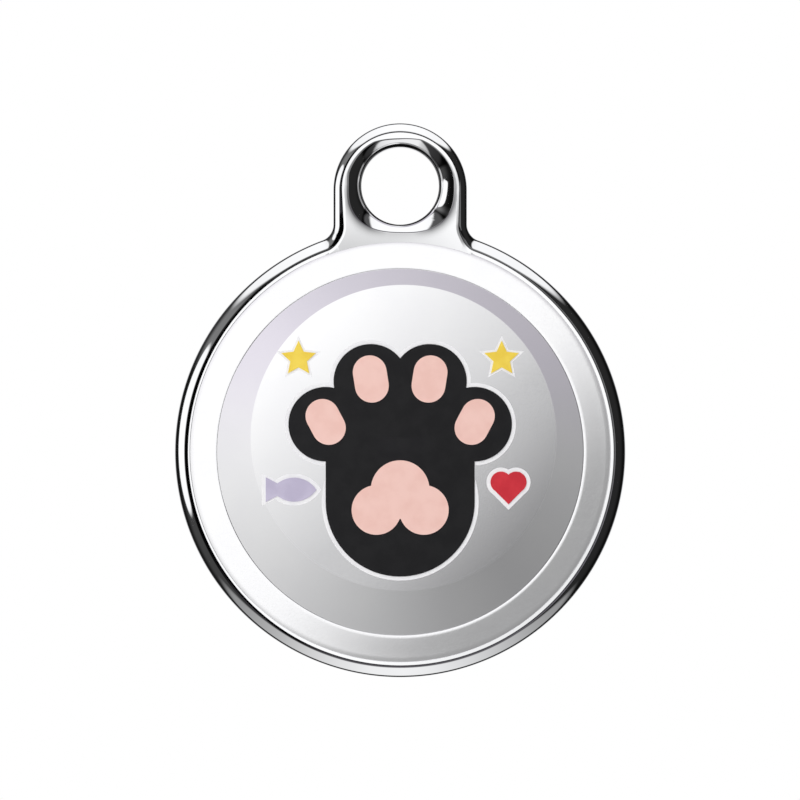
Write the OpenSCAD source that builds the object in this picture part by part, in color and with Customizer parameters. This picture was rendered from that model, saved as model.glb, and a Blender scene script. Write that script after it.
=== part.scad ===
// Pet tracker pendant. A round polished frame with a collar loop holds a press-to-find front disc,
// a tracker board and a coin cell behind a cover that turns with a coin. Sizes are in millimetres.
//
// Every piece is drawn as it lies on its back on a bench: X to the right, Y towards the loop,
// Z from the rear cover towards the front disc. hang() stands it up so that it hangs by its loop.

/* [Frame] */
// Outer diameter of the round frame
body_d = 40; // [39:0.5:46]
// Width of the rounded rim and of the wall below it
rim_w = 1.24; // [1.1:0.02:1.5]
// Height of the rim above the front band
rim_rise = 0.4; // [0.25:0.05:0.6]
// Thickness of the inner ledge
ledge_t = 0.8; // [0.6:0.1:1.2]
// Diameter of a screw boss under the ledge
boss_d = 2.5; // [2.3:0.1:2.8]
// Width of the rib between a boss and the wall
boss_rib = 1; // [0.8:0.1:1.4]

/* [Collar loop] */
// Bore of the loop
loop_bore_d = 6.9; // [5:0.1:8]
// Width of the loop on each side of its bore
loop_side = 2.48; // [2.2:0.02:3.2]
// Width of the loop over its bore
loop_cap = 2.09; // [1.9:0.01:3]
// Distance from the round of the frame to the bore
loop_lift = 0.16; // [0.1:0.02:1.5]
// Thickness of the loop from front to back
loop_t = 5; // [4.2:0.1:6]
// Rounding of the bore into the front of the loop
bore_front_r = 1.1; // [0.6:0.1:1.2]
// Rounding of the bore into the back of the loop
bore_back_r = 0.7; // [0.4:0.1:1]
// Radius of the neck between loop and rim
neck_r = 1.5; // [0.8:0.1:2.5]

/* [Front] */
// Width of the band between rim and disc
band_w = 2.4; // [2:0.05:2.9]
// Thickness of the band
band_t = 0.8; // [0.6:0.05:1.2]
// Fall of the band from the disc to the rim
band_fall = 0.15; // [0:0.05:0.3]
// Reach of the button carrier under the band
carrier_reach = 0.75; // [0.5:0.05:0.9]
// Thickness of the button carrier
carrier_t = 0.5; // [0.4:0.05:0.8]
// Thickness of the sealing diaphragm
diaphragm_t = 0.3; // [0.2:0.05:0.5]
// Press of the front disc
travel = 0.3; // [0.2:0.05:0.5]
// Height of the straight edge of the disc over the band
disc_edge = 0.05; // [0.02:0.01:0.3]
// Ball radius of the bevel round the disc
bevel_ball_r = 70; // [50:1:110]
// Ball radius of the face of the disc
face_ball_r = 250; // [150:5:400]
// Diameter of the face inside the bevel
face_d = 27.1; // [25:0.1:28]
// Distance of the centre of the face above the centre of the disc
face_lift = 1.26; // [0:0.02:1.6]

/* [Print] */
// Thickness of one layer of ink
ink_t = 0.06; // [0.05:0.01:0.1]
// White margin round each printed shape
ink_margin = 0.35; // [0.2:0.05:0.5]
// Height of the printed paw
paw_h = 20.6; // [16:0.1:21.4]
// Size of the small printed shapes beside the paw
charm_size = 3.2; // [2:0.1:3.4]

/* [Rear cover] */
// Thickness of the cover
cover_t = 2; // [1.8:0.1:2.6]
// Height of the cover behind the frame
cover_proud = 0.25; // [0.1:0.05:0.4]
// Chamfer round the cover
cover_chamfer = 0.35; // [0.2:0.05:0.5]
// Reach of a bayonet tab from the wall
tab_w = 1.3; // [1.1:0.05:1.5]
// Thickness of a bayonet tab
tab_t = 0.8; // [0.6:0.05:1.1]
// Arc of a bayonet tab in degrees
tab_arc = 46; // [40:1:50]
// Thickness of a bayonet lug
lug_t = 0.8; // [0.6:0.05:1.1]
// Arc of the stop at the end of a tab in degrees
stop_arc = 3.5; // [2:0.5:6]
// Wall of the ring that carries the lugs
spigot_w = 0.9; // [0.7:0.05:1.1]
// Height of that ring above its lugs
spigot_rise = 0.2; // [0.1:0.05:0.5]
// Section of the sealing ring
seal_d = 0.9; // [0.7:0.05:1]
// Lip of the cover in front of the sealing ring
seal_lip = 0.3; // [0.2:0.05:0.4]
// Radius of the coin that fits the slot
coin_r = 12; // [10:0.5:14]
// Width of the coin slot
slot_w = 1.9; // [1.6:0.1:2.4]
// Depth of the coin slot
slot_depth = 1; // [0.6:0.1:1.2]
// Depth of the moulded marks
mark_depth = 0.15; // [0.1:0.05:0.25]
// Width of the moulded marks
mark_w = 0.7; // [0.5:0.1:1]
// Radius of the moulded arrow
mark_r = 14.5; // [12:0.1:15.5]

/* [Coin cell] */
// Diameter of the cell
cell_d = 24.5; // [20:0.5:25.5]
// Height of the cell
cell_h = 5; // [3.6:0.1:7.7]
// Wall of the cell can at its mouth
cell_wall = 0.65; // [0.4:0.05:0.9]
// Width of the cell seal
cell_seal_w = 0.7; // [0.5:0.05:1]
// Depth of the cap and seal in the can
cell_cap_h = 1.2; // [0.8:0.1:1.6]
// Height of the cap above the can
cell_cap_rise = 0.25; // [0.15:0.05:0.4]
// Thickness of the foam pad behind the cell
pad_t = 0.4; // [0.3:0.05:0.8]
// Diameter of the foam pad
pad_d = 20; // [12:0.5:23]

/* [Chassis] */
// Thickness of the flange that the screws hold
flange_t = 1.2; // [0.9:0.1:1.6]
// Shank diameter of a chassis screw
frame_screw_d = 1.3; // [1.1:0.05:1.4]
// Head diameter of a chassis screw
frame_screw_head_d = 2.4; // [2.1:0.1:2.6]
// Head height of a chassis screw
frame_screw_head_h = 0.8; // [0.6:0.05:1]
// Length of thread in the frame
frame_screw_grip = 1.3; // [1:0.1:1.5]
// Shank diameter of a board screw
board_screw_d = 1; // [0.8:0.05:1.2]
// Head diameter of a board screw
board_screw_head_d = 2.2; // [1.8:0.1:2.4]
// Head height of a board screw
board_screw_head_h = 0.6; // [0.4:0.05:0.8]
// Length of thread in the chassis
board_screw_grip = 2.6; // [1.5:0.1:3.2]
// Width of the cross in a screw head
recess_w = 0.3; // [0.2:0.05:0.4]
// Depth of the cross in a screw head
recess_depth = 0.35; // [0.2:0.05:0.4]

/* [Board] */
// Thickness of the circuit board
board_t = 0.6; // [0.5:0.05:0.9]
// Room between cell and board for the contacts
contact_room = 0.55; // [0.45:0.05:0.9]
// Thickness of the contact strips
strip_t = 0.15; // [0.1:0.01:0.2]
// Width of the contact strips
strip_w = 3; // [2:0.1:3.6]
// Length of the foot of the contact under the board
contact_foot = 2.5; // [2:0.1:3]
// Run of its slope from the board to the cell
contact_run = 3.3; // [2.5:0.1:4]
// Length of its nose on the cell
contact_nose = 0.8; // [0.5:0.1:1.2]
// Side of the satellite antenna
gnss_w = 12; // [9:0.5:12]
// Thickness of the satellite antenna
gnss_t = 2; // [1.6:0.1:2.5]
// Thickness of the silvered face of the antenna
gnss_face_t = 0.06; // [0.05:0.01:0.1]
// Bare margin round the silvered face
gnss_face_margin = 1; // [0.6:0.1:1.6]
// Side of the switch under the disc
switch_w = 3; // [2.6:0.1:3.2]
// Height of the switch body
switch_h = 1.2; // [1:0.05:1.3]
// Diameter of the switch plunger
plunger_d = 1.5; // [1.2:0.1:1.6]
// Height of the plunger above the switch
plunger_rise = 0.5; // [0.4:0.05:0.65]
// Length of the modem shield
shield_l = 16; // [14:0.5:16.5]
// Width of the modem shield
shield_w = 9.5; // [8:0.5:10]
// Height of the modem shield
shield_h = 1.6; // [1.2:0.1:2]
// Sheet of the modem shield
shield_sheet = 0.2; // [0.15:0.05:0.3]
// Side of the processor
processor_w = 5; // [4:0.5:5]
// Side of the buzzer
buzzer_w = 5; // [4:0.5:5]
// Height of the buzzer
buzzer_h = 2; // [1.5:0.1:2.4]
// Height of the thin chips
chip_h = 0.9; // [0.6:0.1:1.2]
// Height of the pulse capacitor
capacitor_h = 1.8; // [1.2:0.1:2]
// Width of the frame antenna spring
feed_w = 2; // [1.5:0.1:2.5]
// Length of its foot on the board
feed_foot = 1.9; // [1.5:0.1:2.2]
// Distance of its foot from the edge of the board
feed_edge = 0.1; // [0:0.05:0.3]
// Length of its end under the ledge
feed_end = 0.45; // [0.3:0.05:0.5]

/* [Fits] */
// Gap round a seated piece
seat_gap = 0.06; // [0.03:0.01:0.1]
// Gap round the front disc
disc_gap = 0.15; // [0.1:0.01:0.25]
// Gap between the carrier and the band at rest
rest_gap = 0.04; // [0.02:0.01:0.06]
// Gap under the tabs that the lugs turn in
lug_gap = 0.08; // [0.05:0.01:0.15]
// Gap between the sealing ring and the frame
seal_gap = 0.02; // [0.01:0.01:0.04]
// Clearance beside parts that turn past each other
turn_gap = 0.15; // [0.1:0.01:0.25]
// Free air over the tallest part on the board with the disc pressed
press_air = 0.2; // [0.1:0.05:0.4]
// Clearance round a screw or plunger in its hole
hole_gap = 0.03; // [0.02:0.01:0.05]
// Clearance round a screw in the piece that it passes through
pass_gap = 0.15; // [0.1:0.01:0.2]
// Air between pieces that only pass each other
air_gap = 0.3; // [0.2:0.02:0.36]
// Clearance round the cell
cell_gap = 0.2; // [0.1:0.02:0.3]
// Space between neighbours on the board
part_gap = 0.4; // [0.3:0.05:0.5]

/* [Hidden] */
$fn = 96;
// Finer rounding for the large balls
ball_fn = 240;
// Overlap of shapes that are joined, and reach of cutters past a face
lap = 0.4;

// Radii, from the outside in
body_r = body_d / 2;
wall_r = body_r - rim_w;
band_r = wall_r - seat_gap;
band_in_r = band_r - band_w;
disc_r = band_in_r - disc_gap;
carrier_r = band_in_r + carrier_reach;
skirt_r = carrier_r + air_gap;
tab_r = wall_r - tab_w;
spigot_r = tab_r - turn_gap;
spigot_in_r = spigot_r - spigot_w;
cover_r = wall_r - turn_gap;
lug_r = wall_r - air_gap;
chassis_r = spigot_in_r - air_gap;
flange_r = wall_r - turn_gap;
frame_screw_r = chassis_r + turn_gap + frame_screw_head_d / 2;
board_r = frame_screw_r - boss_d / 2 - air_gap;
cell_r = cell_d / 2;
pocket_r = cell_r + cell_gap;
board_screw_r = (pocket_r + chassis_r) / 2;

// Levels, from the back to the front
cover_z = -cover_proud;
inside_z = cover_z + cover_t;
cell_z = inside_z + pad_t;
cell_top_z = cell_z + cell_h;
board_z = cell_top_z + contact_room;
parts_z = board_z + board_t;
tallest = max(gnss_t + gnss_face_t, buzzer_h, shield_h, capacitor_h, switch_h + plunger_rise);
diaphragm_z = parts_z + tallest + travel + press_air;
carrier_z = diaphragm_z + diaphragm_t;
disc_z = carrier_z + carrier_t;
band_under_z = disc_z + rest_gap;
band_z = band_under_z + band_t;
front_z = band_z + rim_rise;
ledge_top_z = diaphragm_z - travel - press_air;
ledge_z = ledge_top_z - ledge_t;
chassis_z = inside_z + air_gap;
flange_z = board_z - flange_t;
tab_z = inside_z + lug_gap;
lug_z = tab_z + tab_t + lug_gap;
lug_top_z = lug_z + lug_t;
spigot_z = lug_top_z + spigot_rise;

// Collar loop
bore_r = loop_bore_d / 2;
bore_y = body_r + loop_lift + bore_r;
loop_r = bore_r + loop_side;
loop_y = bore_y + bore_r + loop_cap - loop_r;
loop_z = front_z - loop_t;
web_front_z = band_z;
web_back_z = loop_z + rim_rise;
bore_z0 = web_back_z + bore_back_r;
bore_z1 = web_front_z - bore_front_r;
bore_mid_z = (bore_z0 + bore_z1) / 2;
neck_x = loop_r + neck_r;
neck_y = sqrt(pow(body_r + neck_r, 2) - pow(neck_x, 2));
neck_end_x = neck_x * body_r / (body_r + neck_r);

// Front disc
edge_z = band_z + disc_edge;
bevel_ball_z = edge_z - sqrt(pow(bevel_ball_r, 2) - pow(disc_r, 2));
face_depth = sqrt(pow(bevel_ball_r, 2) - pow(face_d / 2, 2));
face_tilt = asin(face_lift / face_depth);
face_ball_z = face_depth - sqrt(pow(face_ball_r, 2) - pow(face_d / 2, 2));

// Bayonet and screw places
tab_angles = [90, 210, 330];
stop_from = tab_arc / 2 - stop_arc - 1;
stop_r = tab_r + turn_gap;
lug_arc = 2 * stop_from - 1;
frame_screw_angles = [30, 150, 270];
board_screw_angles = [45, 165, 285];
seal_z = inside_z - seal_lip - seat_gap - seal_d / 2;
seal_r = wall_r - seal_gap - seal_d / 2;
seal_groove_r = seal_r - seal_d / 2 - seal_gap;
seal_groove_h = seal_d / 2 + seat_gap;

// Standard packages on the board
sim_size = [5, 6];
memory_size = [4, 3];
sensor_size = [2, 2];
crystal_size = [3.2, 2.5];
capacitor_size = [3.5, 2.8];
small_part = [0.5, 1, 0.5];

// Places on the board
gnss_at = [0, switch_w / 2 + part_gap / 2 + gnss_w / 2];
shield_at = [0, -switch_w / 2 - part_gap - shield_w / 2];
beside_x = gnss_w / 2 + 2 * part_gap;
below_x = shield_l / 2 + part_gap;
processor_at = [-beside_x - processor_w / 2, 0.8];
sensor_at = [-beside_x - sensor_size[0] / 2, processor_at[1] + (processor_w + sensor_size[1]) / 2 + part_gap];
sim_at = [beside_x + sim_size[0] / 2, 1.6];
crystal_at = [beside_x + crystal_size[0] / 2, sim_at[1] + (sim_size[1] + crystal_size[1]) / 2 + part_gap];
buzzer_at = [below_x + buzzer_w / 2, sim_at[1] - (sim_size[1] + buzzer_w) / 2 - part_gap];
memory_at = [-below_x - memory_size[0] / 2, processor_at[1] - (processor_w + memory_size[1]) / 2 - part_gap];
capacitor_y = memory_at[1] - (memory_size[1] + capacitor_size[1]) / 2 - part_gap;
capacitor_at = [-below_x - capacitor_size[0] / 2, capacitor_y];
feed_angle = 197;

// The ledge stays clear of the tall parts on the board
gnss_corner = [gnss_w / 2, gnss_at[1] + gnss_w / 2];
buzzer_corner = buzzer_at + [buzzer_w, -buzzer_w] / 2;
ledge_r = max(norm(gnss_corner), norm(buzzer_corner)) + air_gap;

// The frame antenna spring ends under the ledge, and its foot stays on the board
feed_end_r = ledge_r + feed_end;
feed_r = min(feed_end_r, board_r) - feed_edge;

// Helpers

// Bench to hanging: the bore's middle goes to the origin and the front disc faces -Y
module hang() {
    rotate([90, 0, 0])
        translate([0, -bore_y, -bore_mid_z])
            children();
}

// A plain ring between two radii and two levels
module ring(r0, r1, z0, z1) {
    rotate_extrude()
        translate([r0, z0])
            square([r1 - r0, z1 - z0]);
}

// Part of such a ring, from one angle over an arc
module ring_part(r0, r1, z0, z1, from, arc) {
    rotate([0, 0, from])
        rotate_extrude(angle = arc)
            translate([r0, z0])
                square([r1 - r0, z1 - z0]);
}

// A cylinder that stands between two levels
module post(r, z0, z1) {
    translate([0, 0, z0])
        cylinder(r = r, h = z1 - z0);
}

// A block centred on a place on the board
module chip(at, size, z = parts_z) {
    translate([at[0] - size[0] / 2, at[1] - size[1] / 2, z])
        cube(size);
}

// Copies at a radius and a list of angles
module around(r, angles) {
    for (a = angles)
        rotate([0, 0, a])
            translate([r, 0, 0])
                children();
}

// Half a round edge, for the top or the bottom of a wall
module half_round(w, z, up) {
    translate([w / 2, z])
        intersection() {
            circle(d = w);
            translate([-w, up ? 0 : -w])
                square([2 * w, w]);
        }
}

// Section of a wall with both edges fully rounded
module rim_section(z0, z1) {
    translate([0, z0 + rim_w / 2])
        square([rim_w, z1 - z0 - rim_w]);
    half_round(rim_w, z0 + rim_w / 2, false);
    half_round(rim_w, z1 - rim_w / 2, true);
}

// Frame: one polished casting with the loop, the ledge, the bosses and the bayonet tabs

module rim() {
    difference() {
        rotate_extrude()
            translate([wall_r, 0])
                rim_section(0, front_z);
        translate([-loop_r + rim_w / 2, wall_r - 4, web_front_z])
            cube([2 * loop_r - rim_w, 6, rim_rise + lap]);
    }
}

module loop_side_wall() {
    translate([loop_r - rim_w, loop_y, 0])
        rotate([90, 0, 0])
            linear_extrude(height = loop_y - wall_r + 3)
                rim_section(loop_z, front_z);
}

module loop_outline() {
    translate([0, loop_y])
        circle(r = loop_r - rim_w / 2);
    translate([-loop_r + rim_w / 2, wall_r - 3])
        square([2 * loop_r - rim_w, loop_y - wall_r + 3]);
}

// Wedge between loop and rim, with a small lap so that it crosses both
module neck_wedge() {
    difference() {
        translate([loop_r - rim_w / 2, wall_r - 2])
            square([neck_end_x - loop_r + rim_w / 2, neck_y - wall_r + 2]);
        translate([neck_x - 0.03, neck_y - 0.03])
            circle(r = neck_r);
    }
}

module loop() {
    difference() {
        union() {
            translate([0, loop_y, 0])
                rotate_extrude(angle = 180)
                    translate([loop_r - rim_w, 0])
                        rim_section(loop_z, front_z);
            loop_side_wall();
            mirror([1, 0, 0])
                loop_side_wall();
            translate([0, 0, web_back_z])
                linear_extrude(height = web_front_z - web_back_z)
                    loop_outline();
            for (m = [0, 1])
                mirror([m, 0, 0])
                    translate([0, 0, loop_z + rim_w / 2])
                        linear_extrude(height = loop_t - rim_w)
                            neck_wedge();
        }
        post(wall_r + rim_w / 2, loop_z - lap, front_z + lap);
    }
}

// The collar bore, rounded into both faces of the loop
module loop_bore() {
    translate([0, bore_y, 0])
        rotate_extrude() {
            translate([0, loop_z - lap])
                square([bore_r, loop_t + 2 * lap]);
            difference() {
                translate([0, bore_z1])
                    square([bore_r + bore_front_r, bore_front_r + lap]);
                translate([bore_r + bore_front_r, bore_z1])
                    circle(r = bore_front_r);
            }
            difference() {
                translate([0, web_back_z - lap])
                    square([bore_r + bore_back_r, bore_back_r + lap]);
                translate([bore_r + bore_back_r, bore_z0])
                    circle(r = bore_back_r);
            }
        }
}

module ledge() {
    ring(ledge_r, wall_r + lap, ledge_z, ledge_top_z);
    ring(skirt_r, wall_r + lap, ledge_z, diaphragm_z);
}

module bosses() {
    around(frame_screw_r, frame_screw_angles) {
        post(boss_d / 2, board_z, ledge_z + lap);
        translate([0, -boss_rib / 2, board_z])
            cube([wall_r + lap - frame_screw_r, boss_rib, ledge_z - board_z + lap]);
    }
}

module bayonet_tabs() {
    for (a = tab_angles) {
        ring_part(tab_r, wall_r + lap, tab_z, tab_z + tab_t, a - tab_arc / 2, tab_arc);
        ring_part(stop_r, wall_r + lap / 2, tab_z + tab_t / 2, lug_top_z, a + stop_from, stop_arc);
    }
}

module frame() {
    color("gainsboro")
        difference() {
            union() {
                rim();
                loop();
                ledge();
                bosses();
                bayonet_tabs();
            }
            loop_bore();
            around(frame_screw_r, frame_screw_angles)
                post(frame_screw_d / 2 + hole_gap, board_z - lap, board_z + frame_screw_grip + air_gap);
        }
}

// Front: band, diaphragm and the disc that is pressed

module front_band() {
    color("silver") {
        rotate_extrude()
            polygon([
                [band_in_r, band_under_z], [band_r, band_under_z],
                [band_r, band_z - band_fall], [band_in_r, band_z]
            ]);
        ring(skirt_r, band_r, carrier_z, band_under_z + lap);
    }
}

module diaphragm() {
    color("dimgray") {
        post(band_r, diaphragm_z, carrier_z);
        post(plunger_d / 2 + 0.4, parts_z + switch_h + plunger_rise, diaphragm_z + lap / 2);
    }
}

module button_carrier() {
    color("lightgray")
        post(carrier_r, carrier_z, disc_z);
}

// Ball whose crown is the bevel of the disc
module bevel_ball() {
    translate([0, 0, bevel_ball_z])
        sphere(r = bevel_ball_r, $fn = ball_fn);
}

// Ball whose crown is the face of the disc, tilted so that the face sits above the centre
module face_ball(raise = 0) {
    translate([0, 0, bevel_ball_z])
        rotate([-face_tilt, 0, 0])
            translate([0, 0, face_ball_z])
                sphere(r = face_ball_r + raise, $fn = ball_fn);
}

module button_disc() {
    color("silver")
        intersection() {
            post(disc_r, disc_z, front_z + 3);
            bevel_ball();
            face_ball();
        }
}

// Print: a paw with small shapes beside it, each colour a layer of ink

// One layer of ink on the face, counted up from the disc, where columns stand on it
module ink(layer) {
    difference() {
        intersection() {
            translate([0, face_lift, 0])
                union()
                    children();
            face_ball((layer + 1) * ink_t);
        }
        face_ball(layer * ink_t);
    }
}

// Columns for the ink: a round one, and one with any outline
module dot(at, r) {
    translate([at[0], at[1], front_z - 2])
        cylinder(r = r, h = 4);
}

module column() {
    translate([0, 0, front_z - 2])
        linear_extrude(height = 4)
            children();
}

paw_k = paw_h / 20.6;
toes = [[-6.6, 1.2, 28], [-2.6, 5, 9], [2.6, 5, -9], [6.6, 1.2, -28]];
palm = [0, -5.7];
palm_r = 6.6;
toe_r = 3.3;
// Outline that fills the middle of the paw
paw_middle = [[-palm_r, palm[1]], for (t = toes) [t[0], t[1]], [palm_r, palm[1]]];
// Places beside the paw: the stars above, the fish and the heart below
star_at = [9, 7];
charm_at = [9.6, -4.6];

module paw(grow = 0) {
    for (t = toes)
        dot([t[0], t[1]] * paw_k, toe_r * paw_k + grow);
    dot(palm * paw_k, palm_r * paw_k + grow);
    column()
        polygon(paw_middle * paw_k);
}

// Pads of the paw: a rounded bar on each toe and three lobes on the palm
module pads() {
    for (t = toes)
        translate([t[0], t[1] + 0.2, 0] * paw_k)
            rotate([0, 0, t[2]])
                column() {
                    for (s = [-1, 1])
                        translate([0, 0.6 * s] * paw_k)
                            circle(r = 1.5 * paw_k);
                    square([3, 1.2] * paw_k, center = true);
                }
    for (p = [[-2.1, -6.4, 2.2], [2.1, -6.4, 2.2], [0, -4.6, 2.6]])
        dot([p[0], p[1]] * paw_k, p[2] * paw_k);
}

module star(grow = 0) {
    r = charm_size / 2 + grow * 1.3;
    column()
        polygon([for (i = [0:9]) (i % 2 == 0 ? r : r * 0.48) * [sin(36 * i), cos(36 * i)]]);
}

module heart(grow = 0) {
    side = charm_size / (1 + sqrt(0.5));
    lobe = side / sqrt(8);
    for (s = [-1, 1])
        dot([s * lobe, lobe], side / 2 + grow);
    column()
        rotate(45)
            square(side + 2 * grow - 0.04, center = true);
}

module fish(grow = 0) {
    bend = charm_size * 0.42;
    tail = charm_size * 0.34 + grow;
    tail_x = -charm_size * 0.72 - grow;
    intersection() {
        dot([0.2, bend], charm_size * 0.75 + grow);
        dot([0.2, -bend], charm_size * 0.75 + grow);
    }
    column()
        polygon([[grow - 0.2, 0], [tail_x, tail], [tail_x, -tail]]);
}

module stars(grow = 0) {
    for (s = [-1, 1])
        translate([s * star_at[0], star_at[1], 0])
            star(grow);
}

module print_white() {
    color("white")
        ink(0) {
            paw(ink_margin);
            stars(ink_margin);
            translate([charm_at[0], charm_at[1], 0])
                heart(ink_margin);
            translate([-charm_at[0], charm_at[1], 0])
                fish(ink_margin);
        }
}

module print_black() {
    color("black")
        ink(1)
            paw();
}

module print_peach() {
    color("lightpink")
        ink(2)
            pads();
}

module print_lilac() {
    color("thistle")
        ink(1)
            translate([-charm_at[0], charm_at[1], 0])
                fish();
}

module print_red() {
    color("crimson")
        ink(1)
            translate([charm_at[0], charm_at[1], 0])
                heart();
}

module print_yellow() {
    color("gold")
        ink(1)
            stars();
}

// Rear cover: a disc with bayonet lugs, a coin slot and a sealing ring

module cover_blank() {
    rotate_extrude()
        polygon([
            [0, cover_z], [cover_r - cover_chamfer, cover_z], [cover_r, cover_z + cover_chamfer],
            [cover_r, inside_z], [0, inside_z]
        ]);
    ring(spigot_in_r, spigot_r, inside_z - lap, spigot_z);
    for (a = tab_angles)
        ring_part(spigot_r - lap, lug_r, lug_z, lug_top_z, a - lug_arc / 2, lug_arc);
}

// A dot for the closed place and an arrow for the way to open
module cover_marks() {
    translate([0, mark_r, cover_z - lap])
        cylinder(d = mark_w * 1.6, h = mark_depth + lap);
    ring_part(mark_r - mark_w / 2, mark_r + mark_w / 2, cover_z - lap, cover_z + mark_depth, 52, 26);
    rotate([0, 0, 52])
        translate([mark_r, 0, cover_z - lap])
            linear_extrude(height = mark_depth + lap)
                polygon([[-mark_w * 1.4, 0.2], [mark_w * 1.4, 0.2], [0, -mark_w * 2.4]]);
}

module rear_cover() {
    color("lightgray")
        difference() {
            cover_blank();
            ring(seal_groove_r, cover_r + lap, seal_z - seal_groove_h, seal_z + seal_groove_h);
            translate([-slot_w / 2, 0, cover_z + slot_depth - coin_r])
                rotate([0, 90, 0])
                    cylinder(r = coin_r, h = slot_w);
            cover_marks();
        }
}

module cover_seal() {
    color("darkslategray")
        rotate_extrude()
            translate([seal_r, seal_z])
                circle(d = seal_d);
}

module cell_pad() {
    color("dimgray")
        post(pad_d / 2, inside_z, cell_z);
}

// Coin cell

module cell_can() {
    color("silver")
        difference() {
            post(cell_r, cell_z, cell_top_z - cell_cap_rise);
            post(cell_r - cell_wall, cell_top_z - cell_cap_rise - cell_cap_h, cell_top_z + lap);
        }
}

module cell_insulator() {
    color("dimgray")
        ring(cell_r - cell_wall - cell_seal_w, cell_r - cell_wall,
             cell_top_z - cell_cap_rise - cell_cap_h, cell_top_z - cell_cap_rise);
}

module cell_cap() {
    color("gainsboro")
        post(cell_r - cell_wall - cell_seal_w, cell_top_z - cell_cap_rise - cell_cap_h, cell_top_z);
}

// Chassis: holds the cell, carries the board and is screwed to the bosses from behind

clip_pocket_w = strip_w + 1.4;
clip_reach = 2.4;

module chassis() {
    color("darkslategray")
        difference() {
            union() {
                ring(pocket_r, chassis_r, chassis_z, board_z);
                ring(chassis_r - lap, flange_r, flange_z, board_z);
            }
            translate([-cell_r - clip_reach, -clip_pocket_w / 2, chassis_z - lap])
                cube([clip_reach, clip_pocket_w, board_z - chassis_z + 2 * lap]);
            around(frame_screw_r, frame_screw_angles)
                post(frame_screw_d / 2 + pass_gap, flange_z - lap, board_z + lap);
            around(board_screw_r, board_screw_angles)
                post(board_screw_d / 2 + hole_gap, board_z - board_screw_grip - air_gap, board_z + lap);
        }
}

// Cross cut into a screw head of this diameter
module recess(head_d) {
    for (a = [0, 90])
        rotate([0, 0, a])
            translate([-head_d / 3, -recess_w / 2, 0])
                cube([head_d * 2 / 3, recess_w, recess_depth + lap]);
}

module frame_screws() {
    color("gray")
        around(frame_screw_r, frame_screw_angles)
            difference() {
                union() {
                    post(frame_screw_head_d / 2, flange_z - frame_screw_head_h, flange_z);
                    post(frame_screw_d / 2, flange_z - lap, board_z + frame_screw_grip);
                }
                translate([0, 0, flange_z - frame_screw_head_h - lap])
                    recess(frame_screw_head_d);
            }
}

// Board and its parts

module main_board() {
    color("darkgreen")
        difference() {
            post(board_r, board_z, parts_z);
            around(board_screw_r, board_screw_angles)
                post(board_screw_d / 2 + pass_gap, board_z - lap, parts_z + lap);
        }
}

module board_screws() {
    color("gray")
        around(board_screw_r, board_screw_angles)
            difference() {
                union() {
                    post(board_screw_head_d / 2, parts_z, parts_z + board_screw_head_h);
                    post(board_screw_d / 2, board_z - board_screw_grip, parts_z + lap);
                }
                translate([0, 0, parts_z + board_screw_head_h - recess_depth])
                    recess(board_screw_head_d);
            }
}

// Bent strip under the board that presses on the cap of the cell
module negative_spring() {
    end_x = contact_foot / 2 + contact_run / 2 + contact_nose;
    heel_x = contact_foot - end_x;
    toe_x = heel_x + contact_run;
    nose_x = toe_x + contact_nose;
    color("gold")
        rotate([90, 0, 0])
            linear_extrude(height = strip_w, center = true)
                polygon([
                    [-end_x, board_z], [-end_x, board_z - strip_t], [heel_x, board_z - strip_t],
                    [toe_x, cell_top_z], [nose_x, cell_top_z], [end_x, cell_top_z + strip_t],
                    [end_x, cell_top_z + 2 * strip_t], [nose_x, cell_top_z + strip_t],
                    [toe_x, cell_top_z + strip_t], [heel_x, board_z]
                ]);
}

// Leaf beside the cell that presses on its can
module positive_spring() {
    leaf_mid_z = (cell_z + cell_top_z) / 2;
    leaf_end_z = cell_z + 0.6;
    color("gold")
        rotate([90, 0, 0])
            linear_extrude(height = strip_w, center = true)
                polygon([
                    [-cell_r - 2, board_z], [-cell_r - 0.9, board_z], [-cell_r - 0.03, leaf_mid_z],
                    [-cell_r - 0.7, leaf_end_z], [-cell_r - 0.7 - strip_t, leaf_end_z],
                    [-cell_r - 0.03 - strip_t, leaf_mid_z], [-cell_r - 0.9 - strip_t, board_z - strip_t],
                    [-cell_r - 2, board_z - strip_t]
                ]);
}

module gnss_patch() {
    color("tan")
        chip(gnss_at, [gnss_w, gnss_w, gnss_t]);
}

module gnss_face() {
    side = gnss_w - 2 * gnss_face_margin;
    color("silver")
        difference() {
            chip(gnss_at, [side, side, gnss_face_t], parts_z + gnss_t);
            for (s = [0, 180])
                translate([gnss_at[0], gnss_at[1], parts_z + gnss_t - lap])
                    rotate([0, 0, s])
                        translate([side / 2, side / 2, 0])
                            rotate([0, 0, 45])
                                cube([2, 2, 2], center = true);
        }
}

module modem_shield() {
    room_l = shield_l - 2 * shield_sheet;
    room_w = shield_w - 2 * shield_sheet;
    color("silver")
        difference() {
            chip(shield_at, [shield_l, shield_w, shield_h]);
            chip(shield_at, [room_l, room_w, shield_h - shield_sheet + lap], parts_z - lap);
        }
}

module modem_chip() {
    color("black")
        chip(shield_at, [shield_l - 4, shield_w - 2.5, chip_h]);
}

module processor() {
    color("black")
        chip(processor_at, [processor_w, processor_w, chip_h]);
}

module sim_chip() {
    color("black")
        chip(sim_at, [sim_size[0], sim_size[1], chip_h]);
}

module memory_chip() {
    color("black")
        chip(memory_at, [memory_size[0], memory_size[1], chip_h]);
}

module motion_sensor() {
    color("black")
        chip(sensor_at, [sensor_size[0], sensor_size[1], chip_h]);
}

module crystal() {
    color("silver")
        chip(crystal_at, [crystal_size[0], crystal_size[1], chip_h]);
}

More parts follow.
